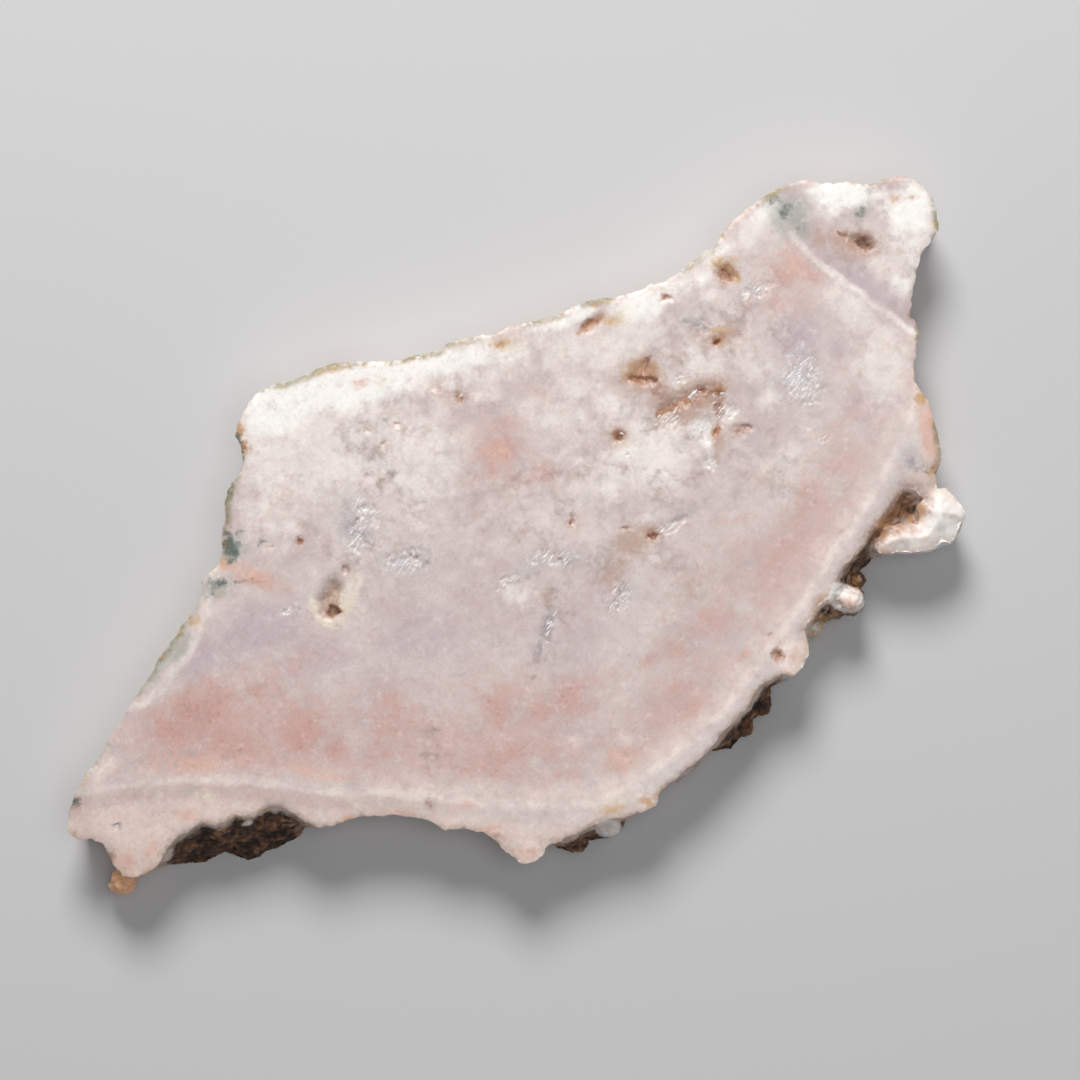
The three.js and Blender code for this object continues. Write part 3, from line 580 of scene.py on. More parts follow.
# ---- what lies where on the stone ----
# Soft patches as (x, y, half length, half width, turn in degrees, strength).
PATCHES = {
    # Near-white, partly the stone's own white and partly painted highlight: the top edge, the shoulder and
    # the tops of the lumps lightened for the light falling on them from above.
    "snow_and_highlight": [
        (46, 29.8, 2.2, 2.4, 0, 1.1), (7.4, 26.6, 2.4, 1.2, 12, 1.5), (11.8, 26.8, 1.6, 1.1, 0, 0.8),
        (43.2, 41, 2.4, 1.2, 0, 0.9), (21.9, 30.8, 1.6, 1.2, 0, 0.8), (-29, 15.4, 5, 3.6, 10, 1.9),
        (-20, 18, 9, 3, 10, 1.7), (-10, 20.6, 10, 1.9, 9, 1.2), (33.2, -15, 2.4, 2.6, 0, 0.7),
        (39.4, -7.4, 2.4, 1.2, -10, 0.8), (14.6, 29.4, 4, 1.2, 25, 0.9), (5, 25.6, 6, 1.5, 12, 0.7),
        (15.5, 27.6, 4.5, 2, 20, 1.2), (24.2, 34, 4.5, 1.4, 45, 0.7), (31.2, 39.6, 3, 1.6, 40, 0.8),
        (38.8, 41.2, 4.4, 1.9, -4, 1.6), (47.4, 39.2, 3.8, 3.4, 0, 1.5), (47.6, 34.2, 1.7, 3.4, 10, 0.8),
        (37.4, 39, 3.6, 1.8, -25, 0.8), (16, 10, 3.6, 3.2, 0, 0.55), (-28, 10, 5, 4, 0, 0.5),
        (52, 2.6, 2.4, 3.6, 0, 0.9), (45.4, 21, 2, 3.4, 0, 0.5), (-30.5, 6.6, 3.6, 4, 0, 0.45),
        (18.9, 29, 3, 1.4, 35, 0.8), (21.6, 21.8, 2.4, 1.6, 40, 0.5),
    ],
    "milky": [
        (11, 15.6, 4, 2.2, 0, 0.95), (-4, 16.8, 2.4, 1.1, 0, 0.9), (22.8, 28.6, 1.8, 1.3, 0, 0.9),
        (46, 18.4, 1.3, 2, 0, 0.9), (7.6, 8.6, 1.6, 1.2, 0, 0.8), (-22.7, 4.3, 1.4, 1.2, 0, 0.8),
        (7.6, 17.6, 3, 2.2, 0, 1.1), (-16.6, 14.6, 2.2, 1.6, 0, 1.1), (30, 16.4, 2, 2, 0, 0.9),
        (-49.6, -28.4, 1.4, 3.6, -40, 0.8), (16, 2.4, 2, 1.2, 20, 0.9), (-26, 12, 11, 9, 0, 1.3),
        (-13, 10, 8, 9, 0, 1.0), (-9, 20, 14, 4, 9, 1.1), (10, 23.5, 12, 5, 18, 0.9),
        (5.5, 14, 7, 5, -20, 0.75), (15.5, 9.6, 6, 5, 0, 1.3), (9.5, 6, 5, 3.4, 0, 0.8),
        (22.5, 20.6, 6, 3.4, 35, 0.8), (22.6, 33, 6, 2.6, 42, 1.0), (29, 37.4, 5, 3.4, 45, 1.0),
        (40, 27.6, 6, 2.4, -38, 0.9), (44, 20, 3.4, 5.4, 0, 1.3), (47.6, 36.4, 4, 6, 0, 1.2),
        (44.6, 32.4, 3, 3, 0, 0.8), (28, 20, 4, 3, 0, 0.6), (-30, 3, 6, 6, 0, 0.8),
        (-21, 4.6, 6, 4, 0, 0.55), (-10.6, -1.4, 4, 2.6, 0, 0.4), (-7, -6, 5, 4, 0, 0.35),
        (31.6, 9, 7, 2.6, 25, 0.5), (50.5, 1.8, 4.4, 5, 0, 1.3), (46, -0.8, 4, 2, 0, 1.1),
        (-45, -17, 1.2, 8, -35, 0.4), (-49, -33.6, 4, 3.4, 0, 0.5), (19.5, -25, 5, 1.5, 42, 0.7),
        (-0.4, -6.9, 3.2, 2.4, 20, 0.9), (20, -4, 5, 2, 30, 0.3), (-6.5, -30.6, 10, 1.3, -3, 0.5),
        (12.5, -29.4, 6, 1.4, 20, 0.6), (27.4, -13, 2, 1.3, 40, 0.4), (7, -24.5, 3.4, 1.8, 20, 0.5),
        (13.2, -24.8, 2.4, 2, 0, 0.6), (38.9, -6.9, 2.4, 0.7, -5, 1.0),
    ],
    "rose": [
        (-33, -24, 18, 6, 0, 0.9), (-6, -25.5, 18, 5.5, 0, 0.85), (18, -21, 14, 5, 42, 0.75),
        (34, -2, 15, 5.4, 53, 0.85), (39.5, 8.4, 5, 5, 30, 0.7), (0, -19.4, 12, 4, 0, 0.6),
        (26, -4, 7, 5, 45, 0.5), (33, 31, 5, 6, 0, 0.6), (-2, 10, 8, 6, -20, 0.5),
        (-30, -17, 8, 3, 15, 0.6), (41.6, 15.2, 4, 3, 0, 0.5), (3, 16.4, 4, 1.6, -15, 0.5),
        (-15.6, 13, 6, 4, 0, 0.3), (45.4, 31, 3, 2, -30, 0.3), (-47, -27, 6, 3, 40, 0.4),
        (22, -10.5, 8, 3, 30, 0.5), (-20, -20, 8, 3, 0, 0.4), (28, 28, 3, 2, 0, 0.4),
    ],
    "salmon": [
        (-38, -21.4, 5.6, 4, 24, 1.0), (-32, -18.9, 5, 1.6, 8, 0.8), (-41.4, -23.4, 3.4, 3.2, 0, 0.9),
        (-34.4, -25.4, 4.8, 3.4, -20, 0.85), (-40.5, -27, 7, 2, 8, 0.7), (-25.7, -23.8, 3.2, 3.8, 0, 1.0),
        (-21.6, -26.2, 4.6, 2.2, -25, 0.8), (-29.6, -27, 4, 1.8, 0, 0.65),
        (-15.6, -21.6, 2.8, 4.6, 10, 0.8), (-13.3, -23, 2.4, 3.4, 0, 0.7), (-16.8, -26.4, 4, 1.8, 0, 0.6),
        (-2.6, -20.4, 3.2, 3.4, 0, 0.8), (2.2, -21.8, 3.8, 2, 10, 0.7), (6.4, -19.7, 5, 3.4, 10, 0.75),
        (10.6, -17.4, 3.4, 2, 30, 0.55), (0.4, -26.6, 5, 2, 0, 0.7), (-4, -29, 5, 1.3, 0, 0.65),
        (6, -28.6, 4.4, 1.7, 8, 0.65), (12.7, -27.1, 2.8, 1.7, 20, 0.95), (16.4, -24.2, 2, 1.2, 40, 0.65),
        (21.2, -21, 3.8, 1.2, 42, 0.8), (27, -14.6, 1.5, 0.7, 42, 1.0), (15.6, -15.2, 2.4, 1.2, 35, 0.75),
        (19.4, -18.4, 3, 1.5, 40, 0.5), (23.2, -10.6, 6.4, 3.6, 10, 0.42), (18.6, -13, 4, 3, 20, 0.36),
        (19.6, -8.6, 3.4, 1.6, 30, 0.4), (-2.7, 9.2, 3.4, 4, 0, 0.8), (2.6, 7.8, 3, 1.6, -25, 0.7),
        (-5.4, 6.6, 2.4, 1.5, 20, 0.5), (-1, 13.2, 2.4, 1.4, 0, 0.5), (32.2, 31.5, 2.8, 3.4, -20, 0.55),
        (35.8, 31, 2.4, 1.3, -38, 0.7), (31, 27.4, 2, 1.6, 0, 0.45), (49.3, 12.4, 1.5, 3.4, 8, 1.2),
        (48.3, 15.6, 1, 1.6, 0, 0.8), (-31.2, -5.4, 3.6, 1.3, -10, 0.9), (-33.2, -3.8, 3, 0.9, 0, 0.6),
        (-28.4, -6.4, 2.4, 1, -25, 0.5), (30.6, -13.2, 1.2, 0.8, 0, 0.6), (34.6, 4.4, 4.4, 2.6, 45, 0.5),
        (31, -2.4, 4, 2.2, 50, 0.45), (27, 1.8, 3, 1.6, 30, 0.35), (23.8, 1.7, 1.8, 1.2, 0, 0.45),
        (-9.6, 17.3, 0.7, 0.6, 0, 0.8), (2.2, 17.1, 2.4, 0.6, -8, 0.5), (-16.1, 11.3, 0.7, 0.6, 0, 0.8),
        (-14.4, 8.6, 0.9, 0.6, 0, 0.6), (-26, 8.4, 1.6, 0.8, 20, 0.4), (-29.4, 2, 3, 1, 10, 0.4),
        (-47.5, -41.5, 2.2, 2, 0, 0.9), (-50, -30, 3, 1.4, 30, 0.35),
    ],
    "mauve": [
        (38.2, 22.4, 1.7, 1.7, 0, 0.85), (-43, -33.8, 4, 1.6, 10, 1.0), (-33, -32, 3, 0.8, 5, 0.5),
        (-44.6, -36.6, 2, 1.4, 0, 0.5), (-31, -11.6, 7, 3.6, 22, 1.0), (-38.4, -15.4, 2.4, 4, -35, 0.9),
        (4, -11.4, 3, 4, 0, 0.5), (-25, -15.5, 7, 3.6, 10, 0.75), (-34, -14.6, 4, 3, 30, 0.7),
        (33.8, 23.6, 3.6, 4, 0, 1.0), (31.6, 17.6, 3.4, 3, 0, 0.4), (41.4, 29.8, 3.8, 1.6, -40, 0.9),
        (19.6, 25.6, 3, 1.8, -20, 0.4), (-11, -12, 9, 5, 0, 0.65), (6, -12.6, 8, 4, 20, 0.55),
        (28.6, 12, 3.4, 2, 10, 0.6), (-19.6, 1, 3, 5, 10, 0.4), (14, -6, 6, 3, 20, 0.45),
        (42, 15.6, 4, 2.2, 0, 1.0), (28, -8, 6, 3, 40, 0.3), (6, -15, 6, 2.6, 10, 0.6),
        (-45.6, -31.6, 4, 2, 20, 0.45), (-8, 4.6, 5, 3, 20, 0.4), (37.6, 36, 3.4, 1.6, -20, 0.4),
        (-17, -17, 6, 3, 0, 0.35),
    ],
    "grey": [
        (-19.5, 1, 3.2, 4.4, 10, 0.9), (-13.5, -3.2, 4.6, 2.2, 5, 0.9), (4.6, -3, 5.4, 1.6, 8, 0.95),
        (0.6, -5, 3.4, 1, 25, 0.8), (3.6, -11, 0.7, 5.4, -14, 0.9), (21.5, 25.4, 2.6, 1.2, -25, 0.7),
        (33.9, 18.6, 3.2, 4.4, 10, 0.9), (20, 2.2, 3, 0.7, 25, 0.7), (13.4, -6.6, 1.8, 3.4, -30, 0.6),
        (-15.5, 10, 3, 5, 30, 0.35), (7.6, 12.3, 1.6, 0.6, 0, 0.6), (22.6, 13.8, 3, 1.4, 20, 0.5),
        (-47.8, -34.9, 1, 0.5, 20, 0.8), (11.2, -3.4, 1.4, 1, 0, 0.5), (47, 9.2, 2, 2.2, 40, 1.1),
        (19.6, 12.6, 3, 1, 35, 0.4), (28, 29.4, 2.4, 1.2, 20, 0.6), (-25.6, -8, 4.4, 1.1, 38, 0.6),
    ],
    "haze": [
        (17.9, -30.3, 1, 0.8, 40, 0.8), (-53.2, -36.2, 0.8, 1, 0, 0.7), (36.3, -8.1, 1.3, 1, 40, 0.9),
        (15.4, -32, 2.4, 0.8, 15, 0.9), (-2.4, -36.2, 1.6, 0.8, 10, 0.6), (22, 24.4, 1.6, 1.1, 0, 0.7),
        (-20.5, -7.8, 0.9, 1.4, -20, 0.5), (20.9, 16, 4.6, 2.4, 28, 1.5), (14.8, 18.6, 3, 2.4, 0, 1.2),
        (17.9, 16.2, 2.6, 1.8, 0, 1.3), (12.1, 11.6, 2, 1.4, 0, 0.9), (12.2, -3.6, 2, 1.8, 20, 0.8),
        (46, 0.9, 2.4, 0.9, 25, 1.0), (49.2, 3.8, 1.2, 1.4, 0, 0.6), (24, 11, 1, 2.4, 0, 1.0),
        (24.4, 23.6, 2.6, 1.6, 30, 1.1), (25.4, 31.2, 2, 1.4, 0, 0.5), (40.6, 35, 3.8, 1.8, -8, 1.3),
        (36.4, 35.6, 2.6, 1.1, -42, 0.9), (14, -0.8, 3.4, 1.8, 20, 1.15), (11.6, -4.6, 2, 2.4, 0, 0.8),
        (17.4, -4, 2.4, 1.4, 0, 0.5), (29.6, 6.2, 2.4, 2, 0, 0.5), (-22, -6.4, 2, 3.4, 0, 0.35),
        (3.6, -7.4, 1.4, 2.4, -12, 0.6), (6.4, 1.6, 1.4, 2, -15, 0.6), (21.5, -6, 5, 3, 30, 0.5),
        (18, 21.5, 3.6, 2, 0, 0.4), (2, -16.4, 1, 1.6, 0, 0.5), (-10.5, -29, 2, 2, 0, 0.4),
        (-7, 17, 1.8, 1.2, 0, 0.6), (-15, 15.4, 3, 1.4, 0, 0.35), (26.6, 12.6, 2.6, 1.2, 12, 0.9),
        (30, 12.4, 2, 0.8, 0, 0.5), (27.4, 27.4, 1.4, 1, 0, 0.5), (41, 23, 2, 1.4, 0, 0.35),
        (-28, 4, 3, 1.4, 0, 0.35), (20, -13.4, 3, 1.6, 0, 0.4),
    ],
    "rust": [
        (-49, -38.6, 0.8, 1.8, -20, 0.9), (-42.4, -37.6, 1, 2.4, -30, 0.35),
        (-37, -34.6, 2.4, 0.5, 15, 0.4), (18.8, 15.3, 2.4, 1, 32, 0.8), (24.1, 15.6, 0.9, 1.9, 5, 0.9),
        (16.8, 17.2, 1.6, 0.9, -20, 0.7), (43, -0.4, 1.6, 1, 50, 1.2), (44.2, 1.2, 2, 1.1, 40, 1.2),
        (46, 3, 1.4, 0.7, 40, 0.9), (14.7, 18.6, 1.3, 0.8, 0, 0.95), (21.8, 16.4, 2.6, 0.9, 25, 0.8),
        (27, 12.5, 1.6, 0.7, 12, 0.75), (12.1, 11.6, 0.8, 0.7, 0, 0.8), (23.9, 23.4, 1.4, 0.8, 30, 0.7),
        (25, 31.4, 1.4, 1, -30, 0.75), (8.6, 25.4, 2, 0.8, 36, 0.8), (17.6, 28.6, 1.4, 0.6, 30, 0.6),
        (41.5, 35, 1.6, 0.9, -10, 0.75), (-7.1, 16.3, 1, 0.8, 0, 0.6), (-26.1, -0.9, 0.8, 0.7, 0, 0.8),
        (16.2, -0.3, 1, 0.7, 0, 0.8), (13.1, 0.8, 1, 0.7, 0, 0.5), (31.1, -14.5, 1.1, 0.9, -20, 1.0),
        (6.4, 1.6, 0.6, 1.1, -20, 0.7), (2.1, -17.3, 0.6, 0.6, 0, 0.6), (29.8, -11.9, 1, 0.4, 20, 0.7),
        (-32.2, -5.5, 1.1, 0.3, -3, 1.0), (-20.7, -4.4, 1, 0.8, 40, 0.4), (-33.1, 10.2, 0.7, 0.9, 0, 1.0),
        (-10.6, -32.4, 0.5, 0.9, 0, 0.8), (-35, -0.8, 0.6, 1.6, 0, 0.5),
    ],
    "ochre": [
        (36.5, -11.4, 1.7, 1.3, 30, 1.3), (48.4, 16.7, 0.8, 1.3, -30, 1.0),
        (24.4, 32.4, 1.6, 0.8, -30, 0.9), (26.2, 30.6, 0.9, 0.6, 0, 0.8), (-44, -40.8, 2.4, 0.8, 20, 0.8),
        (37.6, -9.8, 1.6, 0.8, 30, 0.8), (-2, 22.9, 1.7, 0.8, 0, 1.0), (-22.6, 19.9, 3.4, 0.6, 8, 1.0),
        (-16.6, 18.6, 1.6, 0.9, 0, 0.45), (9.6, 28.1, 2, 0.7, 20, 0.9), (-28.4, 17.9, 1.4, 0.6, 15, 0.9),
        (11.3, 25.7, 1.4, 1, 20, 1.0), (-12, 21.4, 3, 0.4, 10, 0.8), (25.6, 32.8, 1.6, 0.7, 20, 0.7),
        (24.4, 36, 0.8, 0.7, 0, 0.7), (24.4, 24.6, 1.4, 0.6, 0, 0.7), (-38.8, -10.4, 1.2, 0.8, 40, 0.9),
        (49.8, 7.6, 0.8, 0.8, 0, 1.0), (-33.5, 12.8, 0.7, 1, 0, 1.1), (-32.9, 10.2, 0.7, 1.2, 0, 1.0),
        (11.5, -33, 2.2, 0.9, 15, 0.9), (15.4, -32.2, 1.4, 0.8, 0, 0.7), (16.8, 29.4, 1.2, 0.6, 40, 0.7),
        (45.4, 40.6, 1, 0.7, 0, 0.8), (-7, 22.6, 1.6, 0.4, 15, 0.7), (4, 26, 2.4, 0.35, 14, 0.7),
        (30.4, 41, 1.6, 0.4, 30, 0.7), (9.4, 23.4, 1.2, 0.8, 0, 0.5), (-35.4, -3.2, 0.9, 0.5, 20, 0.8),
        (40.9, -5.6, 0.8, 1.4, 0, 0.8), (50, 30, 0.5, 4, 0, 0.4), (50.4, 37, 0.6, 2, 10, 0.6),
    ],
    # Painted light: a light peach on the nub under the foot and on the knuckle, lighter than their own
    # orange-tan, for the shade they lie in.
    "painted_light_peach": [
        (-47.9, -42, 2.8, 2.2, 0, 1.6), (-50.4, -40, 1.4, 1.6, 0, 1.0), (40.2, -8.6, 1.8, 1.2, -20, 0.45),
    ],
    # Dark brown: a streak of the stone's own, and painted shade in the narrow pits and along the undercut
    # wall of the groove beside the thumb.
    "brown_and_shade": [
        (42.1, 34.8, 1.1, 0.6, -10, 0.8), (15.6, 20.7, 0.26, 1.1, -26, 1.1),
        (16, 18.6, 1.1, 0.34, -10, 1.2), (14, 18.8, 0.9, 0.3, 6, 1.1), (22.1, 17.3, 0.5, 0.4, 10, 1.0),
        (24, 17, 0.8, 0.5, 0, 0.6), (23.9, 14.8, 0.3, 1, 5, 0.7), (17, 14.3, 0.7, 0.35, 32, 0.7),
        (23.8, 12.5, 0.3, 0.7, -28, 0.7), (45.2, 3.3, 3, 0.8, 55, 1.2), (43, 0, 1.6, 0.8, 45, 1.0),
        (41.4, -2.4, 1, 0.7, 50, 0.8), (8.4, 25, 1.2, 0.36, 38, 0.4), (12, 11.6, 0.6, 0.36, 20, 0.8),
        (16.3, -0.3, 0.7, 0.3, 20, 0.9), (25.2, 31.2, 0.9, 0.4, -40, 0.7), (41.4, 35, 1.2, 0.4, -12, 0.9),
        (23.9, 23.2, 0.6, 0.3, 40, 0.8), (-31.8, -5.6, 0.9, 0.18, -5, 1.0),
    ],
    # Tan-brown iron stain in and around the pockets; the first four patches, in the groove beside the thumb,
    # are painted shade.
    "amber_stain_and_shade": [
        (43.6, 0.8, 1.5, 1, 40, 1.4), (45.2, 2.4, 1.8, 1, 40, 1.4), (47.4, 2.8, 1.8, 1.5, 30, 1.5),
        (45.6, 0.6, 1.4, 0.6, 30, 0.7), (19.6, 15.6, 2.2, 0.8, 30, 0.8), (22.4, 15.8, 1.4, 0.8, 0, 0.6),
        (14.8, 19.5, 2.2, 1.6, 0, 1.7), (25.4, 32.4, 1.4, 0.8, -20, 0.9), (24, 23.2, 1.1, 0.8, 30, 1.0),
        (24.2, 17.4, 1.2, 0.8, 0, 1.0), (20.3, 16, 1.8, 0.6, 30, 0.9), (17.4, 14.8, 1.4, 0.6, 35, 1.0),
        (12.1, 11.8, 1, 0.8, 0, 1.0), (23.8, 12.4, 0.5, 1, -28, 1.0), (27.5, 12.8, 1, 0.5, 12, 0.7),
        (25.2, 31.6, 1.6, 1.2, -30, 1.2), (8.9, 25.4, 2.2, 0.9, 38, 1.1), (16.2, -0.2, 0.9, 0.6, 0, 0.9),
        (-2.2, 22.9, 1, 0.6, 0, 1.0), (-22.2, -9.2, 0.9, 0.7, 0, 0.5), (-7, 16.3, 0.7, 0.5, 0, 0.9),
        (17.6, 28.6, 1, 0.6, 30, 0.8), (30.4, 8, 1.4, 0.8, 20, 0.4), (41.2, 35, 1.8, 0.8, -10, 0.6),
        (31.1, -14.5, 1, 0.8, -20, 0.9), (40.4, -6.4, 0.8, 1, 0, 0.8), (-26.1, -0.9, 0.7, 0.6, 0, 0.6),
        (47.3, 40.6, 0.8, 0.6, 0, 0.8), (50.2, 8.4, 0.7, 1, 0, 0.7), (14.4, -2.2, 1.6, 1, 20, 0.5),
        (-33.5, 12.6, 0.6, 1, 0, 1.2), (9.4, -30.8, 1.4, 0.6, 20, 0.4),
    ],
    "smoke": [
        (48.4, 16.6, 0.8, 1.1, -30, 0.8), (-32.9, 10.6, 0.7, 0.9, 0, 0.7), (-39, -22, 3, 3.2, 20, 0.34),
        (-14.6, -22.6, 1.2, 2.6, 0, 0.25), (3.6, -11.2, 0.8, 3.4, -13, 0.9),
        (2.5, -14, 0.6, 1.7, -15, 0.9), (-7, -28.4, 0.4, 4, 0, 0.35), (4.4, -7.4, 0.6, 1.6, -8, 0.6),
        (-10.5, -24.6, 0.5, 5, -2, 0.4), (-9.6, -27, 0.4, 3.6, -2, 0.35),
        (-42.6, -33.4, 2.6, 1.2, 10, 0.3), (0.4, -5.4, 2.6, 0.4, 22, 0.8), (5.6, -3.4, 1.4, 0.5, 8, 0.9),
        (-18.2, -0.8, 0.8, 2.2, 30, 0.6), (-20.4, 1.4, 1.4, 0.7, 40, 0.6), (-13.4, -2.6, 2, 0.5, 10, 0.8),
        (-11, -3.6, 1, 0.5, 20, 0.7), (21.4, 25.2, 1.8, 0.6, -25, 0.9), (12.4, -6.6, 0.5, 2, -25, 0.8),
        (19.4, 1.8, 1.6, 0.4, 25, 0.9), (7.4, 12.2, 1.2, 0.35, 0, 0.8), (-6.8, -16.8, 0.6, 0.6, 0, 0.7),
        (22.6, 9, 0.6, 1.4, 20, 0.5), (42, 35, 1.5, 1, -10, 0.9), (22.6, 14, 1, 0.8, 0, 0.5),
        (-47.8, -34.9, 0.7, 0.35, 20, 1.0), (47.3, 8.6, 1, 1.2, 40, 0.7), (-15.4, 7.4, 0.5, 1.4, 20, 0.5),
        (-17, 10.4, 0.9, 0.5, 50, 0.5), (-25.5, -8.2, 2.6, 0.25, 38, 0.5), (10.8, -3.2, 0.8, 0.5, 0, 0.7),
        (-30.8, -1.2, 0.5, 0.35, 10, 1.0),
    ],
    "blush": [
        (-6.5, -32.4, 1.8, 0.8, 0, 0.75), (-2.4, -36.4, 1.6, 0.8, 0, 0.6),
        (49.4, 12.2, 1.2, 3.6, 8, 1.35), (48.4, 15.8, 0.8, 1.4, 0, 1.0), (33.4, -14.8, 2, 2, 0, 0.7),
        (39.2, -8.3, 1.8, 1, -10, 1.0), (-8.2, 16.1, 1.6, 1.2, 0, 0.5), (31.4, -12.8, 1.2, 0.8, 0, 0.7),
        (-38.4, -27.6, 6, 1.4, 6, 0.8), (-24, -28.6, 6, 1, -6, 0.8), (12.3, -27.1, 3, 2, 10, 0.8),
        (-3, 9.8, 2.4, 2.8, 0, 0.65), (32.6, 32.9, 2.4, 2, -20, 0.7), (-31.8, -4.9, 3.2, 1, -12, 1.0),
        (-34.4, -3.8, 2, 0.8, 0, 0.9), (-28.8, -6, 2, 0.8, -25, 0.6), (-35.6, -7.4, 1.6, 0.6, 0, 0.8),
        (-46.6, -39.4, 1.6, 2, 20, 0.9), (-44, -38, 1.2, 2.2, -30, 0.8), (-39.4, -33.6, 1.8, 1, 20, 0.8),
        (0.8, -38.2, 2.4, 1, 0, 0.9), (-3.4, -35.2, 2.6, 0.6, 10, 0.8), (-14, -33.4, 4, 0.4, 0, 0.8),
        (-20.6, -34, 2, 0.6, -10, 0.7), (44.6, 22.4, 1, 1.4, 0, 0.5), (-19, 18.2, 1.4, 0.7, 10, 0.8),
        (-28, 5.6, 1.4, 0.7, 10, 0.5), (21.2, -21, 2, 0.6, 42, 0.5), (27.2, -14.4, 1, 0.4, 42, 1.0),
        (-31, -23.4, 3, 1, 10, 0.4), (46, 40.4, 1, 0.7, 0, 0.8), (49.6, 38, 0.8, 1.6, 0, 0.5),
        (27.6, -16.8, 2, 0.5, 45, 0.5), (-52.6, -33.8, 0.8, 1.4, 0, 0.5),
    ],
    # Late whitening, laid over the stains: white quartz in the sparkle patches, and painted highlight on the
    # top edge, the shoulder, the thumb, the lobe and the knuckle.
    "frost_and_highlight": [
        (33.6, 18.4, 1.9, 3, 15, 0.6), (-20.6, -6.8, 0.9, 1.6, -20, 0.9), (21.6, 13, 1.7, 1.6, 0, 0.9),
        (18.4, 13.8, 1.3, 0.9, 20, 0.8), (22.9, 10.9, 0.9, 1.4, 20, 0.8), (25.6, 14.4, 1.5, 0.6, 20, 0.8),
        (23, 8.4, 0.9, 0.8, 0, 0.9), (13, 10, 1.4, 0.5, 20, 0.8), (51.4, 1.6, 3.2, 3.2, 0, 1.3),
        (47.4, -1, 3, 1.2, 0, 0.8), (39.6, -7.2, 2, 1.1, 0, 1.3), (33.6, -15, 2, 1.8, 0, 1.1),
        (-22, 17.4, 8, 2.6, 10, 1.2), (-29.6, 15, 3.6, 2.8, 0, 1.1), (-8, 20.8, 9, 1.5, 9, 1.0),
        (5.4, 25.6, 4, 1, 14, 0.9), (15.4, 28.2, 4.4, 1.5, 22, 1.1), (39, 41, 3.8, 1.5, -4, 1.4),
        (47.6, 39.4, 2.8, 2.6, 0, 1.2), (22, 33.4, 2, 0.9, 42, 0.6), (29.6, 38.6, 2.4, 1, 40, 0.8),
        (46, 9.6, 1.2, 1.4, 40, 0.6),
    ],
    "moss": [
        (32.6, 38.6, 2.6, 2.8, -20, 1.4), (30.6, 40.8, 1.8, 1.2, 0, 1.0), (34.4, 36.4, 1.8, 1.6, 30, 0.9),
        (41.4, 38.8, 1.2, 1.6, -20, 0.8), (-34.2, -1.4, 1.8, 2.4, 15, 0.9), (-36, -6.6, 2.4, 1.5, 0, 1.1),
        (-30.8, -1, 0.9, 0.5, 20, 0.8), (-16.5, 13.4, 1.4, 0.8, 30, 0.6), (-18.8, 10.6, 1, 0.7, 0, 0.6),
        (-14.2, 15.6, 1.2, 0.6, 20, 0.6), (-13, 7.4, 1.2, 0.9, 0, 0.5), (-40, -13.6, 1, 3, -35, 0.8),
        (-52, -31, 1.2, 1.4, 0, 0.7), (48.6, 8.6, 1.2, 1, 0, 0.7), (-39.2, -30.8, 2, 1, 0, 0.6),
        (7.8, -31.6, 3, 0.8, 8, 0.4), (-20.6, 0.6, 1.2, 1.2, 0, 0.5),
    ],
    "rind": [
        (9.6, 28.3, 2.6, 1, 20, 1.5), (3, 25.6, 4, 1, 14, 0.9), (-25, 19, 8, 1.6, 12, 1.2),
        (-10, 22, 9, 1.4, 12, 0.9), (22, 33, 5, 1.6, 45, 0.7), (31, 41, 4, 1.6, 30, 0.7),
        (-42, -14, 9, 2, 55, 0.65), (-50, -27, 6, 1.4, 60, 0.4), (-34.4, 4, 1.4, 6, 0, 1.0),
        (48.4, 26, 1, 7, 0, 0.8), (50.4, 38, 1.2, 4, 0, 0.8), (50.2, 11, 1.2, 4, 0, 0.8),
        (42.6, 42.4, 3, 1, 0, 0.7),
    ],
    "clay": [
        (-37.4, -31.4, 2, 1, 0, 0.7), (-23, -10.6, 1.5, 0.5, -20, 1.7), (-24.5, -8.5, 0.6, 1.4, 20, 1.4),
        (-20.4, -8, 1.1, 2.1, -25, 1.15), (-19.2, -5.8, 0.7, 1.6, -25, 1.0),
        (-21.4, -10.4, 1.2, 1, 0, 0.7), (-18.6, -9.4, 1.6, 1, 30, 0.5), (13, 19.8, 0.9, 0.7, 40, 1.0),
        (16.4, 19.4, 0.9, 0.5, 0, 0.8), (12.6, 26.2, 2, 1.4, 20, 0.8), (-1, 22.6, 3, 1.2, 10, 0.6),
        (24.6, 32.4, 2, 1, 0, 0.6), (13.2, 10.9, 1.2, 0.7, 30, 0.7), (-38.2, -11.4, 1.4, 1.2, 40, 0.6),
        (25.6, 13.6, 1.2, 0.5, 60, 0.7), (9.8, -30.8, 3, 1.4, 10, 0.5), (12, -32, 3, 1, 15, 0.8),
        (23.8, 22, 1.4, 0.8, 30, 0.5), (-26, 19, 5, 1, 12, 0.7), (17.6, -9.8, 2.4, 2, 0, 0.35),
    ],
    "teal": [
        (-34.6, -1.2, 1.2, 2, 15, 1.05), (-34, -2.4, 0.9, 0.7, 30, 1.0), (-34.4, -3.4, 0.4, 0.5, 0, 0.9),
        (-33.6, 0.4, 0.7, 0.35, 0, 0.8), (-36.4, -5.9, 1.9, 0.8, 0, 0.85), (-30.8, -1, 0.6, 0.3, 20, 0.9),
        (30.6, 40.4, 0.9, 0.8, 0, 0.6), (33.8, 37, 0.8, 0.9, 20, 0.5), (-36.6, -7.4, 0.6, 0.7, 0, 0.8),
        (-33.4, -5.6, 0.9, 0.3, 0, 1.0), (-33.9, 11.2, 0.6, 0.9, 0, 1.4),
        (32.1, 38.8, 0.8, 1.5, -20, 0.8), (41.2, 38.8, 0.7, 0.9, -20, 0.7),
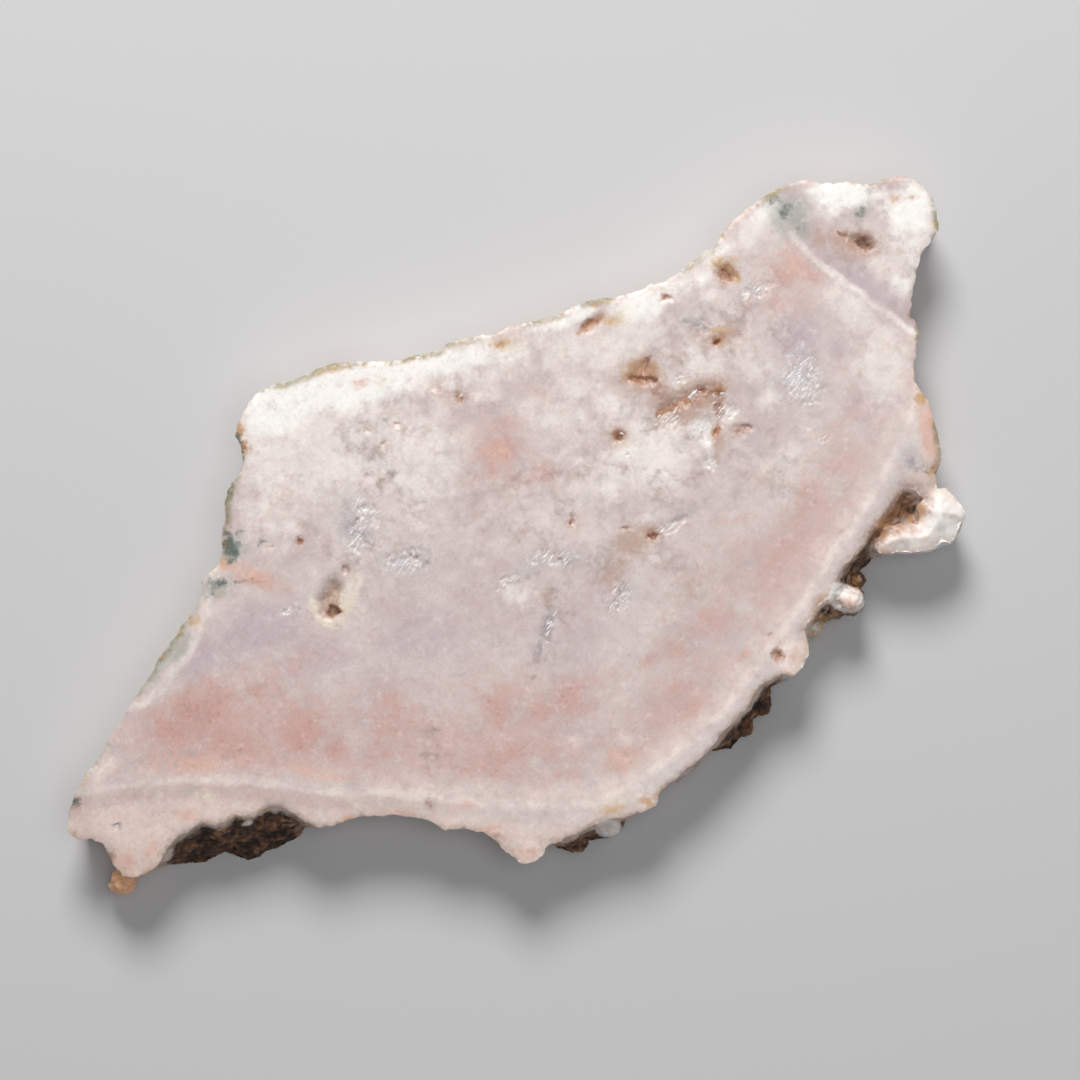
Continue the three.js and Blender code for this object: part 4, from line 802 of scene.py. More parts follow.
        (42.8, 41.6, 0.9, 0.5, 20, 0.8), (-53.2, -32, 1, 0.8, 30, 0.8), (-34.6, 5, 0.6, 1.4, 0, 0.9),
        (47.4, 26.4, 0.6, 0.8, 0, 0.8), (48, 20.6, 0.5, 0.8, 0, 0.8), (49.3, 17.2, 0.5, 0.9, 0, 0.8),
        (49.2, 7.8, 0.7, 0.5, 0, 0.7), (-42.6, -14.6, 0.5, 2, -30, 0.5),
    ],
    "fissured": [
        (-17, 8, 7, 8, 20, 1.0), (4, 4, 10, 6, 20, 0.8), (18, 10, 9, 7, 20, 1.0), (-19, -1, 5, 5, 0, 0.9),
        (4, -10, 2.5, 6, -12, 0.7), (13, -3, 7, 4, 0, 0.8), (24, 24, 8, 5, 20, 0.9),
        (-10.5, -27, 2, 6, 0, 0.7), (42, 35, 6, 4, 0, 0.7), (-10, 18, 8, 3, 10, 0.6),
        (30, 8, 6, 4, 0, 0.5), (33, 19, 4, 5, 0, 0.6),
    ],
    "pink_lump": [
        (36.2, -11.6, 1.8, 1.4, 30, 1.2), (51.2, 1.8, 3.6, 4.6, 0, 1.6), (48.4, -1.4, 4.6, 1.8, 0, 1.6),
        (39.4, -7.6, 2.8, 1.8, -20, 1.6), (33.2, -14.8, 2.4, 2.8, 0, 1.5),
        (10.9, -35.3, 1.9, 1.4, 0, 1.4), (-47.6, -41.8, 2.8, 2.4, 0, 1.5), (-12, -34.6, 1, 0.7, 0, 0.9),
        (1.2, -38, 3, 2.4, 0, 1.0), (-32.4, -34.6, 1.4, 0.7, 20, 0.8), (15.6, -32, 2.2, 1.6, 0, 0.9),
    ],
    "tan_ledge": [
        (46, 2.4, 3.2, 2, 40, 1.6), (48, 4.4, 1.6, 1, 0, 1.0), (43.6, -1.2, 2, 1.3, 45, 1.4),
        (41, -4.6, 1, 1.6, 0, 0.8), (37.4, -9.8, 1.8, 1, 30, 1.3), (40.2, -5.4, 1.2, 1.4, 0, 1.2),
        (-27, -35.4, 2, 0.9, -20, 0.6), (-43.4, -40.2, 2, 0.9, 20, 1.0), (18.6, -30.4, 1, 0.6, 40, 0.6),
        (25.5, -25, 1.6, 0.6, 30, 0.5),
    ],
}
# Thin white chalcedony lines that run parallel to the rim. The quartz lies on the left of each line's
# direction, and the grey band and the rim's cream border lie on its right.
BAND_LINES = {
    "low_band": [
        (-56, -31.6), (-46.7, -29.9), (-38.4, -29.4), (-30.5, -29.6), (-22.8, -30.8), (-16, -31.1),
        (-5.5, -31.8), (1.8, -32.7), (9.1, -32.2), (13.9, -30.2), (18.7, -26.5), (23.9, -22.2),
        (26.8, -18.4), (30.1, -13.9), (33, -10.2), (36.4, -4.3), (40.1, 1), (43.4, 6.4), (45.2, 9.7),
        (46.8, 12.8), (47.6, 15.7), (49.5, 22),
    ],
    "left_band": [
        (-38.5, 2), (-36.4, -4), (-37.4, -9.3), (-39, -13), (-40.5, -15.5), (-42, -17.5), (-43.5, -19.5),
        (-45, -20.3), (-51, -21.5),
    ],
    "horn_band": [
        (52, 21.5), (46.3, 25.3), (44, 27), (40, 29.8), (36, 33), (33.5, 35.2), (31.5, 38.2), (29.5, 43),
    ],
}


def store(mesh, name, values):
    """Keeps one number for each vertex under a name that the materials read."""
    attribute = mesh.attributes.new(name, "FLOAT", "POINT")
    attribute.data.foreach_set("value", np.asarray(values, np.float32))


def near_distance(points, targets, most):
    """Distance from each point to the nearest of the targets, up to a most."""
    tree = search_tree(targets)
    return np.array([min(tree.find(point)[2], most) for point in points])


def describe_stone(verts, faces, on_cut, numbers):
    """Adds what the materials need to know at each vertex: patches, bands and distances."""
    plan = verts[:, :2]
    front = verts[:, 2] > THICKNESS / 2
    for name, patches in PATCHES.items():
        numbers[name] = patch_weight(plan, patches)
    for name, line in BAND_LINES.items():
        numbers[name] = -line_distance(plan, line)
    numbers["sparkle"] = patch_weight(plan, SPARKLES) * front
    on_face = np.zeros(len(verts), bool)
    on_face[faces[on_cut]] = True
    on_skin = np.zeros(len(verts), bool)
    on_skin[faces[~on_cut]] = True
    numbers["pocket_gap"] = near_distance(verts, verts[numbers["sunk"] > 0.5], 9.0)
    numbers["rim_gap"] = near_distance(verts, verts[on_face & on_skin], 20.0)


# ---- materials ----
def paint(red, green, blue):
    """A colour given in sRGB bytes, as linear numbers."""
    def linear(byte):
        share = byte / 255
        return share / 12.92 if share <= 0.04045 else ((share + 0.055) / 1.055) ** 2.4
    return (linear(red), linear(green), linear(blue), 1.0)


PALE = paint(216, 201, 197)
GREY_PINK = paint(204, 186, 184)
SNOW = paint(252, 249, 245)
MILKY = paint(240, 229, 224)
SALMON = paint(201, 152, 141)
BLUSH = paint(224, 180, 162)
PEACH = paint(255, 192, 144)
DEEP_SALMON = paint(186, 118, 102)
ROSE = paint(208, 175, 168)
MAUVE = paint(193, 176, 181)
GREY_QUARTZ = paint(192, 186, 189)
SMOKE = paint(146, 134, 136)
CHALCEDONY = paint(216, 206, 203)
WHITE_LINE = paint(248, 238, 232)
PALE_PINK = paint(232, 210, 203)
DULL_PINK = paint(199, 172, 163)
CREAM = paint(230, 207, 196)
LUMP_PINK = paint(253, 234, 225)
CLAY = paint(243, 234, 211)
HAZE = paint(184, 152, 136)
RUST = paint(140, 88, 58)
OCHRE = paint(206, 164, 100)
MOSS = paint(158, 166, 156)
TEAL = paint(66, 88, 80)
TAN = paint(196, 170, 148)
AMBER = paint(190, 144, 104)
BROWN = paint(112, 74, 47)
DARK_BROWN = paint(38, 27, 21)
GREY_GREEN = paint(184, 187, 178)
OLIVE = paint(128, 124, 92)
PALE_QUARTZ = paint(236, 228, 227)
STAINED_QUARTZ = paint(196, 164, 136)
SEAM = paint(150, 126, 118)
QUARTZ_IOR = 1.54


class Shading:
    """A material's node tree, with a short call for each kind of node that it is built from."""

    def __init__(self, name):
        self.material = bpy.data.materials.new(name)
        self.material.use_nodes = True
        self.tree = self.material.node_tree
        self.shader = self.tree.nodes["Principled BSDF"]
        coordinates = self.tree.nodes.new("ShaderNodeTexCoord")
        self.place = self.vector("SCALE", coordinates.outputs["Object"], scale=1 / MM)

    def feed(self, socket, value):
        if hasattr(value, "is_linked"):
            self.tree.links.new(value, socket)
        else:
            socket.default_value = value

    def vector(self, operation, first, second=None, scale=None):
        made = self.tree.nodes.new("ShaderNodeVectorMath")
        made.operation = operation
        self.feed(made.inputs[0], first)
        if second is not None:
            self.feed(made.inputs[1], second)
        if scale is not None:
            self.feed(made.inputs["Scale"], scale)
        return made.outputs[0]

    def math(self, operation, first, second=0.0):
        made = self.tree.nodes.new("ShaderNodeMath")
        made.operation = operation
        self.feed(made.inputs[0], first)
        self.feed(made.inputs[1], second)
        return made.outputs[0]

    def plus(self, *values):
        result = values[0]
        for value in values[1:]:
            result = self.math("ADD", result, value)
        return result

    def times(self, *values):
        result = values[0]
        for value in values[1:]:
            result = self.math("MULTIPLY", result, value)
        return result

    def around(self, value, amount):
        """A 0 to 1 value turned into a swing about 0 that is amount wide."""
        return self.times(self.math("SUBTRACT", value, 0.5), amount)

    def rise(self, value, low, high):
        """0 below low, 1 above high, smooth between."""
        made = self.tree.nodes.new("ShaderNodeMapRange")
        made.interpolation_type = "SMOOTHSTEP"
        self.feed(made.inputs["Value"], value)
        made.inputs["From Min"].default_value = low
        made.inputs["From Max"].default_value = high
        return made.outputs["Result"]

    def fall(self, value, low, high):
        """1 below low, 0 above high, smooth between."""
        return self.math("SUBTRACT", 1.0, self.rise(value, low, high))

    def read(self, name):
        """A number that the mesh keeps at its vertices."""
        made = self.tree.nodes.new("ShaderNodeAttribute")
        made.attribute_name = name
        return made.outputs["Fac"]

    def part(self, axis):
        """The place's distance along one axis, in millimetres."""
        made = self.tree.nodes.new("ShaderNodeSeparateXYZ")
        self.feed(made.inputs[0], self.place)
        return made.outputs[axis]

    def noise(self, size, detail=3.0, roughness=0.55, place=None, output="Fac"):
        made = self.tree.nodes.new("ShaderNodeTexNoise")
        self.feed(made.inputs["Vector"], place or self.place)
        made.inputs["Scale"].default_value = 1 / size
        made.inputs["Detail"].default_value = detail
        made.inputs["Roughness"].default_value = roughness
        return made.outputs[output]

    def shifted(self, x, y, z=0.0, place=None):
        """The place moved by some millimetres, for a noise unlike the others."""
        return self.vector("ADD", place or self.place, (x, y, z))

    def warped(self, size, amount, place=None):
        """The place pushed about by noise, so that what is drawn on it has ragged edges."""
        push = self.vector("SUBTRACT", self.noise(size, 3.0, output="Color"), (0.5, 0.5, 0.5))
        return self.vector("ADD", place or self.place, self.vector("SCALE", push, scale=amount))

    def cells(self, size, place=None, feature="F1", output="Distance"):
        made = self.tree.nodes.new("ShaderNodeTexVoronoi")
        made.feature = feature
        self.feed(made.inputs["Vector"], place or self.place)
        made.inputs["Scale"].default_value = 1 / size
        return made.outputs[output]

    def streaks(self, turn, length, width, detail=2.0):
        """Noise drawn out along one direction of the plan."""
        made = self.tree.nodes.new("ShaderNodeMapping")
        made.vector_type = "TEXTURE"
        self.feed(made.inputs["Vector"], self.place)
        made.inputs["Rotation"].default_value = (0, 0, math.radians(turn))
        made.inputs["Scale"].default_value = (length, width, 1)
        return self.noise(1.0, detail, place=made.outputs["Vector"])

    def blend(self, share, first, second, kind="MIX"):
        made = self.tree.nodes.new("ShaderNodeMix")
        made.data_type = "RGBA"
        made.blend_type = kind
        self.feed(made.inputs[0], share)
        self.feed(made.inputs[6], first)
        self.feed(made.inputs[7], second)
        return made.outputs[2]

    def facets(self, place, size, amount):
        """The surface normal turned a little its own way in each small grain."""
        normal = self.tree.nodes.new("ShaderNodeNewGeometry").outputs["Normal"]
        turn = self.vector("SUBTRACT", self.cells(size, place, output="Color"), (0.5, 0.5, 0.5))
        turned = self.vector("ADD", normal, self.vector("SCALE", turn, scale=amount))
        return self.vector("NORMALIZE", turned)

    def bump(self, height, strength, distance, normal=None):
        made = self.tree.nodes.new("ShaderNodeBump")
        made.inputs["Strength"].default_value = strength
        made.inputs["Distance"].default_value = distance * MM
        self.feed(made.inputs["Height"], height)
        if normal is not None:
            self.feed(made.inputs["Normal"], normal)
        return made.outputs["Normal"]

    def let_light_in(self, weight, depth):
        """Light that sinks into the stone and comes out around, redder the further it goes.

        Blender's quicker method: random walks render far more slowly."""
        self.shader.subsurface_method = "BURLEY"
        self.shader.inputs["Subsurface Weight"].default_value = weight
        self.shader.inputs["Subsurface Radius"].default_value = (1.0, 0.62, 0.52)
        self.shader.inputs["Subsurface Scale"].default_value = depth * MM


def patch_share(s, name, raggedness, low=0.2, high=0.9, wander=1.2):
    """A patch's weight, its outline made ragged by noise."""
    weight = s.read(name)
    gate = s.rise(weight, 0.03, 0.25)
    return s.times(s.rise(s.plus(weight, s.around(raggedness, wander)), low, high), gate)


def quartz_colour(s, ragged, mottle):
    """The cloudy pink and grey body of the quartz, with its larger patches; the near-white ones are partly
    painted highlight.
    """
    clouds = s.noise(8, 3.0, 0.55, place=s.shifted(31, 12))
    colour = s.blend(s.rise(clouds, 0.38, 0.64), PALE, GREY_PINK)
    spread = s.plus(s.times(ragged, 0.55), s.times(mottle, 0.45))
    for name, tone, share, low, high in (
            ("mauve", MAUVE, 0.85, 0.15, 0.9), ("rose", ROSE, 0.85, 0.1, 0.85),
            ("milky", MILKY, 0.85, 0.2, 1.0), ("salmon", SALMON, 0.8, 0.1, 1.1),
            ("snow_and_highlight", SNOW, 0.9, 0.3, 1.1)):
        colour = s.blend(s.times(patch_share(s, name, spread, low, high, 1.9), share), colour, tone)
    return colour


def band_line(s, colour, outward, broken, width, share):
    """One white chalcedony line, its strength uneven along its run."""
    line = s.times(s.fall(s.math("ABSOLUTE", outward), 0.05, width), share, s.plus(0.4, broken))
    return s.blend(line, colour, WHITE_LINE)


def banded(s, colour, wobble, ragged):
    """The white lines, and what lies between them and the rim."""
    swing = s.around(wobble, 1.5)
    broken = s.rise(ragged, 0.35, 0.6)
    along = s.rise(s.part("X"), -30, 12)
    outward = s.plus(s.read("low_band"), swing)
    inner = s.times(s.rise(outward, -4.2, -0.4), s.plus(0.35, s.times(along, 0.4)), s.plus(0.6, broken))
    colour = s.blend(s.times(inner, 0.75), colour, PALE_PINK)
    uneven = s.plus(0.55, s.times(broken, 0.45))
    outer = s.times(s.rise(outward, 0.1, 0.9), s.fall(outward, 1.6, 3.2), uneven)
    colour = s.blend(s.times(outer, 0.7), colour, s.blend(along, DULL_PINK, CHALCEDONY))
    colour = s.blend(s.times(s.rise(outward, 1.6, 3.4), 0.6), colour, CREAM)
    colour = band_line(s, colour, outward, broken, 0.85, s.plus(0.26, s.times(along, 0.18)))
    outward = s.plus(s.read("left_band"), swing)
    reach = s.fall(outward, 3.4, 5.0)
    colour = s.blend(s.times(s.rise(outward, 0.5, 2.0), reach, 0.9), colour, GREY_GREEN)
    colour = band_line(s, colour, outward, broken, 0.9, 0.5)
    outward = s.plus(s.read("horn_band"), swing)
    colour = s.blend(s.times(s.rise(outward, 0.2, 0.9), s.fall(outward, 1.4, 4.0), 0.7), colour, MAUVE)
    return band_line(s, colour, outward, broken, 0.72, 0.7)


def stained(s, colour, ragged, fine):
    """Iron and clay stains: specks in the salmon flush, patches, and haloes around the pockets; some of the
    patches are painted highlight on the top edge and lumps, and painted shade in the narrow pits and the
    thumb's groove.
    """
    scattered = s.warped(0.8, 0.6)
    specks = s.cells(0.8, scattered)
    chosen = s.rise(s.cells(0.8, scattered, output="Color"), 0.5, 0.62)
    flush = s.plus(0.06, patch_share(s, "salmon", ragged), s.times(s.read("rose"), 0.4))
    colour = s.blend(s.times(s.fall(specks, 0.1, 0.45), chosen, flush, 0.3), colour, DEEP_SALMON)
    edges = s.plus(s.times(ragged, 0.4), s.times(fine, 0.6))
    # The late white patches are partly painted highlight; the dark brown in the narrow pits and the thumb's
    # groove, and the tan-brown in that groove, are painted shade.
    for name, tone, share, wander in (
            ("frost_and_highlight", SNOW, 0.85, 1.6), ("grey", GREY_QUARTZ, 0.75, 2.6), ("blush", BLUSH, 0.8, 2.2),
            ("moss", MOSS, 0.6, 1.8), ("haze", HAZE, 0.78, 2.2), ("clay", CLAY, 0.65, 2.0),
            ("smoke", SMOKE, 0.7, 2.6), ("ochre", OCHRE, 0.75, 2.6), ("amber_stain_and_shade", AMBER, 0.85, 2.2),
            ("teal", TEAL, 0.9, 2.8), ("rust", RUST, 0.75, 2.4), ("brown_and_shade", BROWN, 0.85, 1.4)):
        colour = s.blend(s.times(patch_share(s, name, edges, 0.15, 1.0, wander), share), colour, tone)
    halo = s.times(s.fall(s.read("pocket_gap"), 0.1, 2.0), s.rise(ragged, 0.35, 0.62))
    return s.blend(s.times(halo, 0.4), colour, HAZE)


def grown_grains(s, colour, fine):
    """Rounded quartz grains, each a little unlike its neighbours, with broken darker seams between them.

    Returns the colour, and how high each point stands on its grain."""
    fissured = s.plus(0.15, s.read("fissured"))
    gaps = s.rise(s.noise(2.6, 3.0, place=s.shifted(5, 40)), 0.46, 0.62)
    place = s.warped(0.5, 0.25, place=s.warped(2.2, 0.9))
    heights = []
    for size, share in ((3.3, 1.0), (1.4, 0.6)):
        edge = s.cells(size, place, feature="DISTANCE_TO_EDGE")
        tone = s.around(s.cells(size, place, output="Color"), 0.12)
        colour = s.vector("SCALE", colour, scale=s.plus(1.0, s.times(tone, fissured)))
        colour = s.blend(s.times(s.rise(edge, 0.05, 0.4), fissured, 0.3 * share), colour, MILKY)
        seam = s.times(s.fall(edge, 0.0, 0.24), gaps, fissured, 0.4 * share)
        colour = s.blend(seam, colour, SEAM)
        pit = s.times(s.fall(edge, 0.0, 0.1), s.rise(fine, 0.54, 0.64), gaps, fissured, 0.4 * share)
        colour = s.blend(pit, colour, BROWN)
        heights.append(s.times(s.rise(edge, 0.0, 0.3), fissured, share))
    return colour, s.plus(*heights)


def cut_face_material():
    """Sawn pink quartz: cloudy, granular, patched and banded, stained in and around its pockets."""
    s = Shading("cut_face")
    ragged = s.noise(3.2, 4.0, 0.6, place=s.warped(6, 3.0))
    mottle = s.noise(1.5, 3.0, 0.6)
    wobble = s.noise(3.4, 3.0)
    fine = s.noise(0.7, 3.0, 0.6)
    sugar = s.noise(0.26, 2.0, 0.6)
    sunk = s.plus(s.read("sunk"), s.around(fine, 0.6))
    colour = quartz_colour(s, ragged, mottle)
    colour = banded(s, colour, wobble, ragged)
    colour, grown = grown_grains(s, colour, fine)
    colour = s.blend(s.times(patch_share(s, "pink_lump", mottle, 0.3, 1.2), 0.85), colour, LUMP_PINK)
    plain = s.fall(s.read("sparkle"), 0.3, 0.8)
    wall = s.blend(s.rise(mottle, 0.36, 0.62), HAZE, TAN)
    colour = s.blend(s.times(s.rise(sunk, 0.25, 0.8), plain, 0.75), colour, wall)
    colour = stained(s, colour, ragged, fine)
    # fine glints, painted white into the colour as painted highlights and made glossier, then mottling,
    # sugar and saw streaks
    dashes = s.streaks(42, 0.8, 0.17, 1.0)
    glint = s.rise(dashes, 0.66, 0.74)
    crowd = s.rise(s.plus(s.read("sparkle"), s.around(mottle, 1.2)), 0.2, 0.8)
    bars = s.rise(s.streaks(50, 1.5, 0.36, 1.0), 0.57, 0.65)
    clustered = s.times(s.plus(s.rise(dashes, 0.56, 0.68), s.times(bars, 0.8)), crowd)
    painted_glints = s.plus(s.times(glint, s.plus(0.16, s.times(s.read("grey"), 0.5))), clustered)
    # Painted highlight: the glints are white dashes laid into the base colour.
    colour = s.blend(s.math("MINIMUM", s.times(painted_glints, 0.75), 0.9), colour, SNOW)
    flecks = s.noise(1.2, 4.0, 0.65, place=s.shifted(60, 7))
    colour = s.blend(s.times(s.rise(flecks, 0.52, 0.7), 0.28), colour, SALMON)
    colour = s.blend(s.times(s.fall(flecks, 0.3, 0.46), 0.28), colour, MILKY)
    brightness = s.plus(1.0, s.around(ragged, 0.14), s.around(mottle, 0.16), s.around(fine, 0.16),
                        s.around(sugar, 0.1), s.around(s.streaks(42, 2.4, 0.3), 0.14))
    colour = s.vector("SCALE", colour, scale=brightness)
    colour = s.blend(s.times(s.rise(sunk, 1.0, 2.2), 0.8), colour, BROWN)
    # worn rim
    worn = s.rise(s.plus(s.noise(1.6, 4.0), s.around(fine, 0.4)), 0.5, 0.64)
    rim = s.times(s.fall(s.read("rim_gap"), 0.15, 0.9), worn)
    rind = patch_share(s, "rind", fine)
    colour = s.blend(s.times(rim, s.plus(0.25, s.times(rind, 0.4))), colour, OCHRE)
    colour = s.blend(s.times(s.fall(s.read("rim_gap"), 0.15, 1.1), rind, 0.75), colour, OLIVE)
    s.feed(s.shader.inputs["Base Color"], colour)
    s.feed(s.shader.inputs["Roughness"], s.math("SUBTRACT", s.plus(0.4, s.around(fine, 0.2)),
                                                s.times(painted_glints, 0.2)))
    height = s.plus(s.times(mottle, 0.8), s.times(fine, 0.7), s.times(sugar, 0.35), s.times(grown, 0.4),
                    s.times(glint, 0.2))
    grain = s.facets(s.place, 0.28, 0.12)
    s.feed(s.shader.inputs["Normal"], s.bump(height, 0.35, 0.14, grain))
    s.let_light_in(0.5, 1.4)
    s.shader.inputs["IOR"].default_value = QUARTZ_IOR
    return s.material


def skin_material():
    """Natural rind: cream and grey-green on the sheer sides, dark brown crust in the hollows."""
    s = Shading("natural_skin")
    mottle = s.noise(2.6, 5.0, 0.6)
    fine = s.noise(0.7, 4.0, 0.6)
    grit = s.noise(0.22, 2.0)
    crest = s.read("crest")
    cream = s.blend(s.rise(mottle, 0.42, 0.62), CREAM, TAN)
    cream = s.blend(s.times(s.rise(s.noise(4.2, 3.0), 0.52, 0.66), 0.6), cream, GREY_GREEN)
    cream = s.blend(s.times(patch_share(s, "milky", mottle), 0.6), cream, MILKY)
    cream = s.blend(s.times(patch_share(s, "salmon", mottle), 0.6), cream, SALMON)
    # Colour follows how far up its lump each point lies: the crust is darkest in the dips between lumps and
    # tan-orange on their tops, and the tan ledges and pink lumps show on their raised parts. This is painted
    # shade in the dips and painted highlight on the tops, over the crust's own brown.
    crust = s.blend(s.rise(s.plus(crest, s.times(fine, 0.6)), 0.45, 1.1), DARK_BROWN, BROWN)
    crust = s.blend(s.times(s.rise(s.plus(crest, mottle, s.around(grit, 0.6)), 1.1, 1.5), 0.6), crust, AMBER)
    ledge = s.times(patch_share(s, "tan_ledge", fine), s.rise(s.plus(crest, s.around(fine, 0.6)), 0.1, 0.7))
    crust = s.blend(s.times(ledge, 0.9), crust, s.blend(s.rise(fine, 0.36, 0.6), AMBER, HAZE))
    outward = s.plus(s.read("flare"), s.around(mottle, 1.4))
    lump = s.plus(s.read("pink_lump"), s.around(fine, 0.3))
    brown = s.times(s.rise(outward, 0.25, 0.9), s.fall(lump, 0.5, 0.8))
    colour = s.blend(brown, cream, crust)
    pink = s.blend(s.rise(mottle, 0.48, 0.7), SNOW, PALE_PINK)
    pink_share = s.times(s.rise(lump, 0.5, 0.85), s.rise(s.plus(crest, fine), 0.1, 0.6), 0.92)
    colour = s.blend(pink_share, colour, pink)
    near_top = s.rise(s.part("Z"), THICKNESS - 2.2, THICKNESS - 0.8)
    blotches = s.plus(near_top, s.rise(s.noise(3.2, 4.0, place=s.shifted(17, 5)), 0.44, 0.58))
    reach = s.math("MINIMUM", blotches, 1.0)
    # Painted light: the peach is lighter than the nub's and knuckle's own orange-tan, making up for the
    # shade they lie in.
    colour = s.blend(s.times(patch_share(s, "painted_light_peach", fine), 0.9), colour, PEACH)
    # The dark brown and the tan-brown patches in the groove beside the thumb are painted shade; the rest are
    # stains.
    for name, tone, share in (
            ("blush", BLUSH, 0.6), ("ochre", OCHRE, 0.7), ("teal", TEAL, 0.85), ("rust", RUST, 0.6),
            ("amber_stain_and_shade", AMBER, 0.7), ("brown_and_shade", BROWN, 0.7)):
        colour = s.blend(s.times(patch_share(s, name, fine), reach, share), colour, tone)
    s.feed(s.shader.inputs["Base Color"], s.vector("SCALE", colour, scale=s.plus(1.0, s.around(grit, 0.4))))
    s.feed(s.shader.inputs["Roughness"], s.plus(0.5, s.times(fine, 0.35)))
    height = s.plus(s.times(fine, 0.7), s.times(grit, 0.3))
    s.feed(s.shader.inputs["Normal"], s.bump(height, 0.7, 0.3))
    return s.material


def quartz_material():
    """Small milky quartz points, stained brown where they stand deep in a pocket."""
    s = Shading("quartz_points")
    milk = s.blend(s.rise(s.noise(0.9, 3.0), 0.4, 0.64), PALE_QUARTZ, PALE)
    s.feed(s.shader.inputs["Base Color"], s.blend(s.rise(s.read("stain"), 0.1, 0.9), milk, STAINED_QUARTZ))
    s.shader.inputs["Roughness"].default_value = 0.3
    s.shader.inputs["IOR"].default_value = QUARTZ_IOR
    return s.material


# ---- pieces ----
def add_piece(name, verts, faces, materials):
    """A mesh object made from vertices in millimetres, riding on the part's one body."""
    mesh = bpy.data.meshes.new(name)
    mesh.from_pydata([tuple(vert) for vert in np.asarray(verts) * MM], [], [tuple(face) for face in faces])
    for material in materials:
        mesh.materials.append(material)
    piece = bpy.data.objects.new(name, mesh)
    bpy.context.scene.collection.objects.link(piece)
    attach(piece, "root")
    return piece


def add_slice(verts, faces, on_cut, numbers):
    """The slice itself, in the place of the CAD solid."""
    piece = add_piece("amethyst_slice", verts, faces, [skin_material(), cut_face_material()])
    mesh = piece.data
    mesh.polygons.foreach_set("material_index", on_cut.astype(np.int32))
    mesh.polygons.foreach_set("use_smooth", np.ones(len(faces), bool))
    mesh.set_sharp_from_angle(angle=math.radians(52))
    for name, values in numbers.items():
        store(mesh, name, values)
    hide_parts("slice")


# Pockets lined with plain clay or chalcedony and few points.
BARE_POCKETS = [
    (-22.3, -8, 3.4, 4.6, 0, 1.6), (8.7, 25.5, 2.6, 1.4, 42, 1.4), (25.2, 31.4, 2, 1.6, -30, 1.2),
    (41.3, 35.1, 3, 2, -10, 1.2), (15.2, 18.6, 3, 2.4, 0, 0.9), (31.1, -14.5, 2, 2, 0, 1.5),
    (43.8, 0.6, 4.4, 3, 45, 1.8), (46.9, 3.6, 3, 2.4, 45, 1.8),
]
POINTS_FROM, POINTS_TO = 0.22, 1.4  # how deep below a cut the small points stand
POINTS_CLEAR = 1.3    # how far they stay from the rim
POINT_CHANCE = 0.012  # chance that a vertex there gets a point
SPARKLE_CHANCE = 0.02  # and how much more in a sparkle patch
STAND = 0.02          # how far a point may stand above the front cut, and stays inside the back cut


def quartz_point(foot, lean, side, radius, length):
    """Corners and faces of a six-sided point standing on foot along lean, one corner towards side."""
    ring = []
    for level, width in ((0.0, 1.0), (0.55, 0.96)):
        for i in range(6):
            arm = side.copy()
            arm.rotate(Matrix.Rotation(math.tau * i / 6, 3, lean))
            ring.append(foot + lean * (length * level) + arm * (radius * width))
    ring.append(foot + lean * length)
    faces = [(i, (i + 1) % 6, 6 + (i + 1) % 6, 6 + i) for i in range(6)]
    faces += [(6 + i, 6 + (i + 1) % 6, 12) for i in range(6)]
    faces.append(tuple(range(5, -1, -1)))
    return ring, faces


def bedded_point(place, direction, pitch, radius, length, roll, top, up):
    """A quartz point lying in the stone, pitched up along a direction in plan, none of it above top."""
    turn, slope = math.radians(direction), math.radians(pitch)
    flat = math.cos(slope)
    lean = Vector((math.cos(turn) * flat, math.sin(turn) * flat, math.sin(slope) * up))
    side = (Vector((0, 0, up)) - lean * (up * lean.z)).normalized()
    side.rotate(Matrix.Rotation(math.radians(roll), 3, lean))
    ring, faces = quartz_point(place - lean * length / 2, lean, side, radius, length)
    excess = max((corner.z - top) * up for corner in ring)
    if excess > 0:
        ring = [corner - Vector((0, 0, up * excess)) for corner in ring]
    return ring, faces


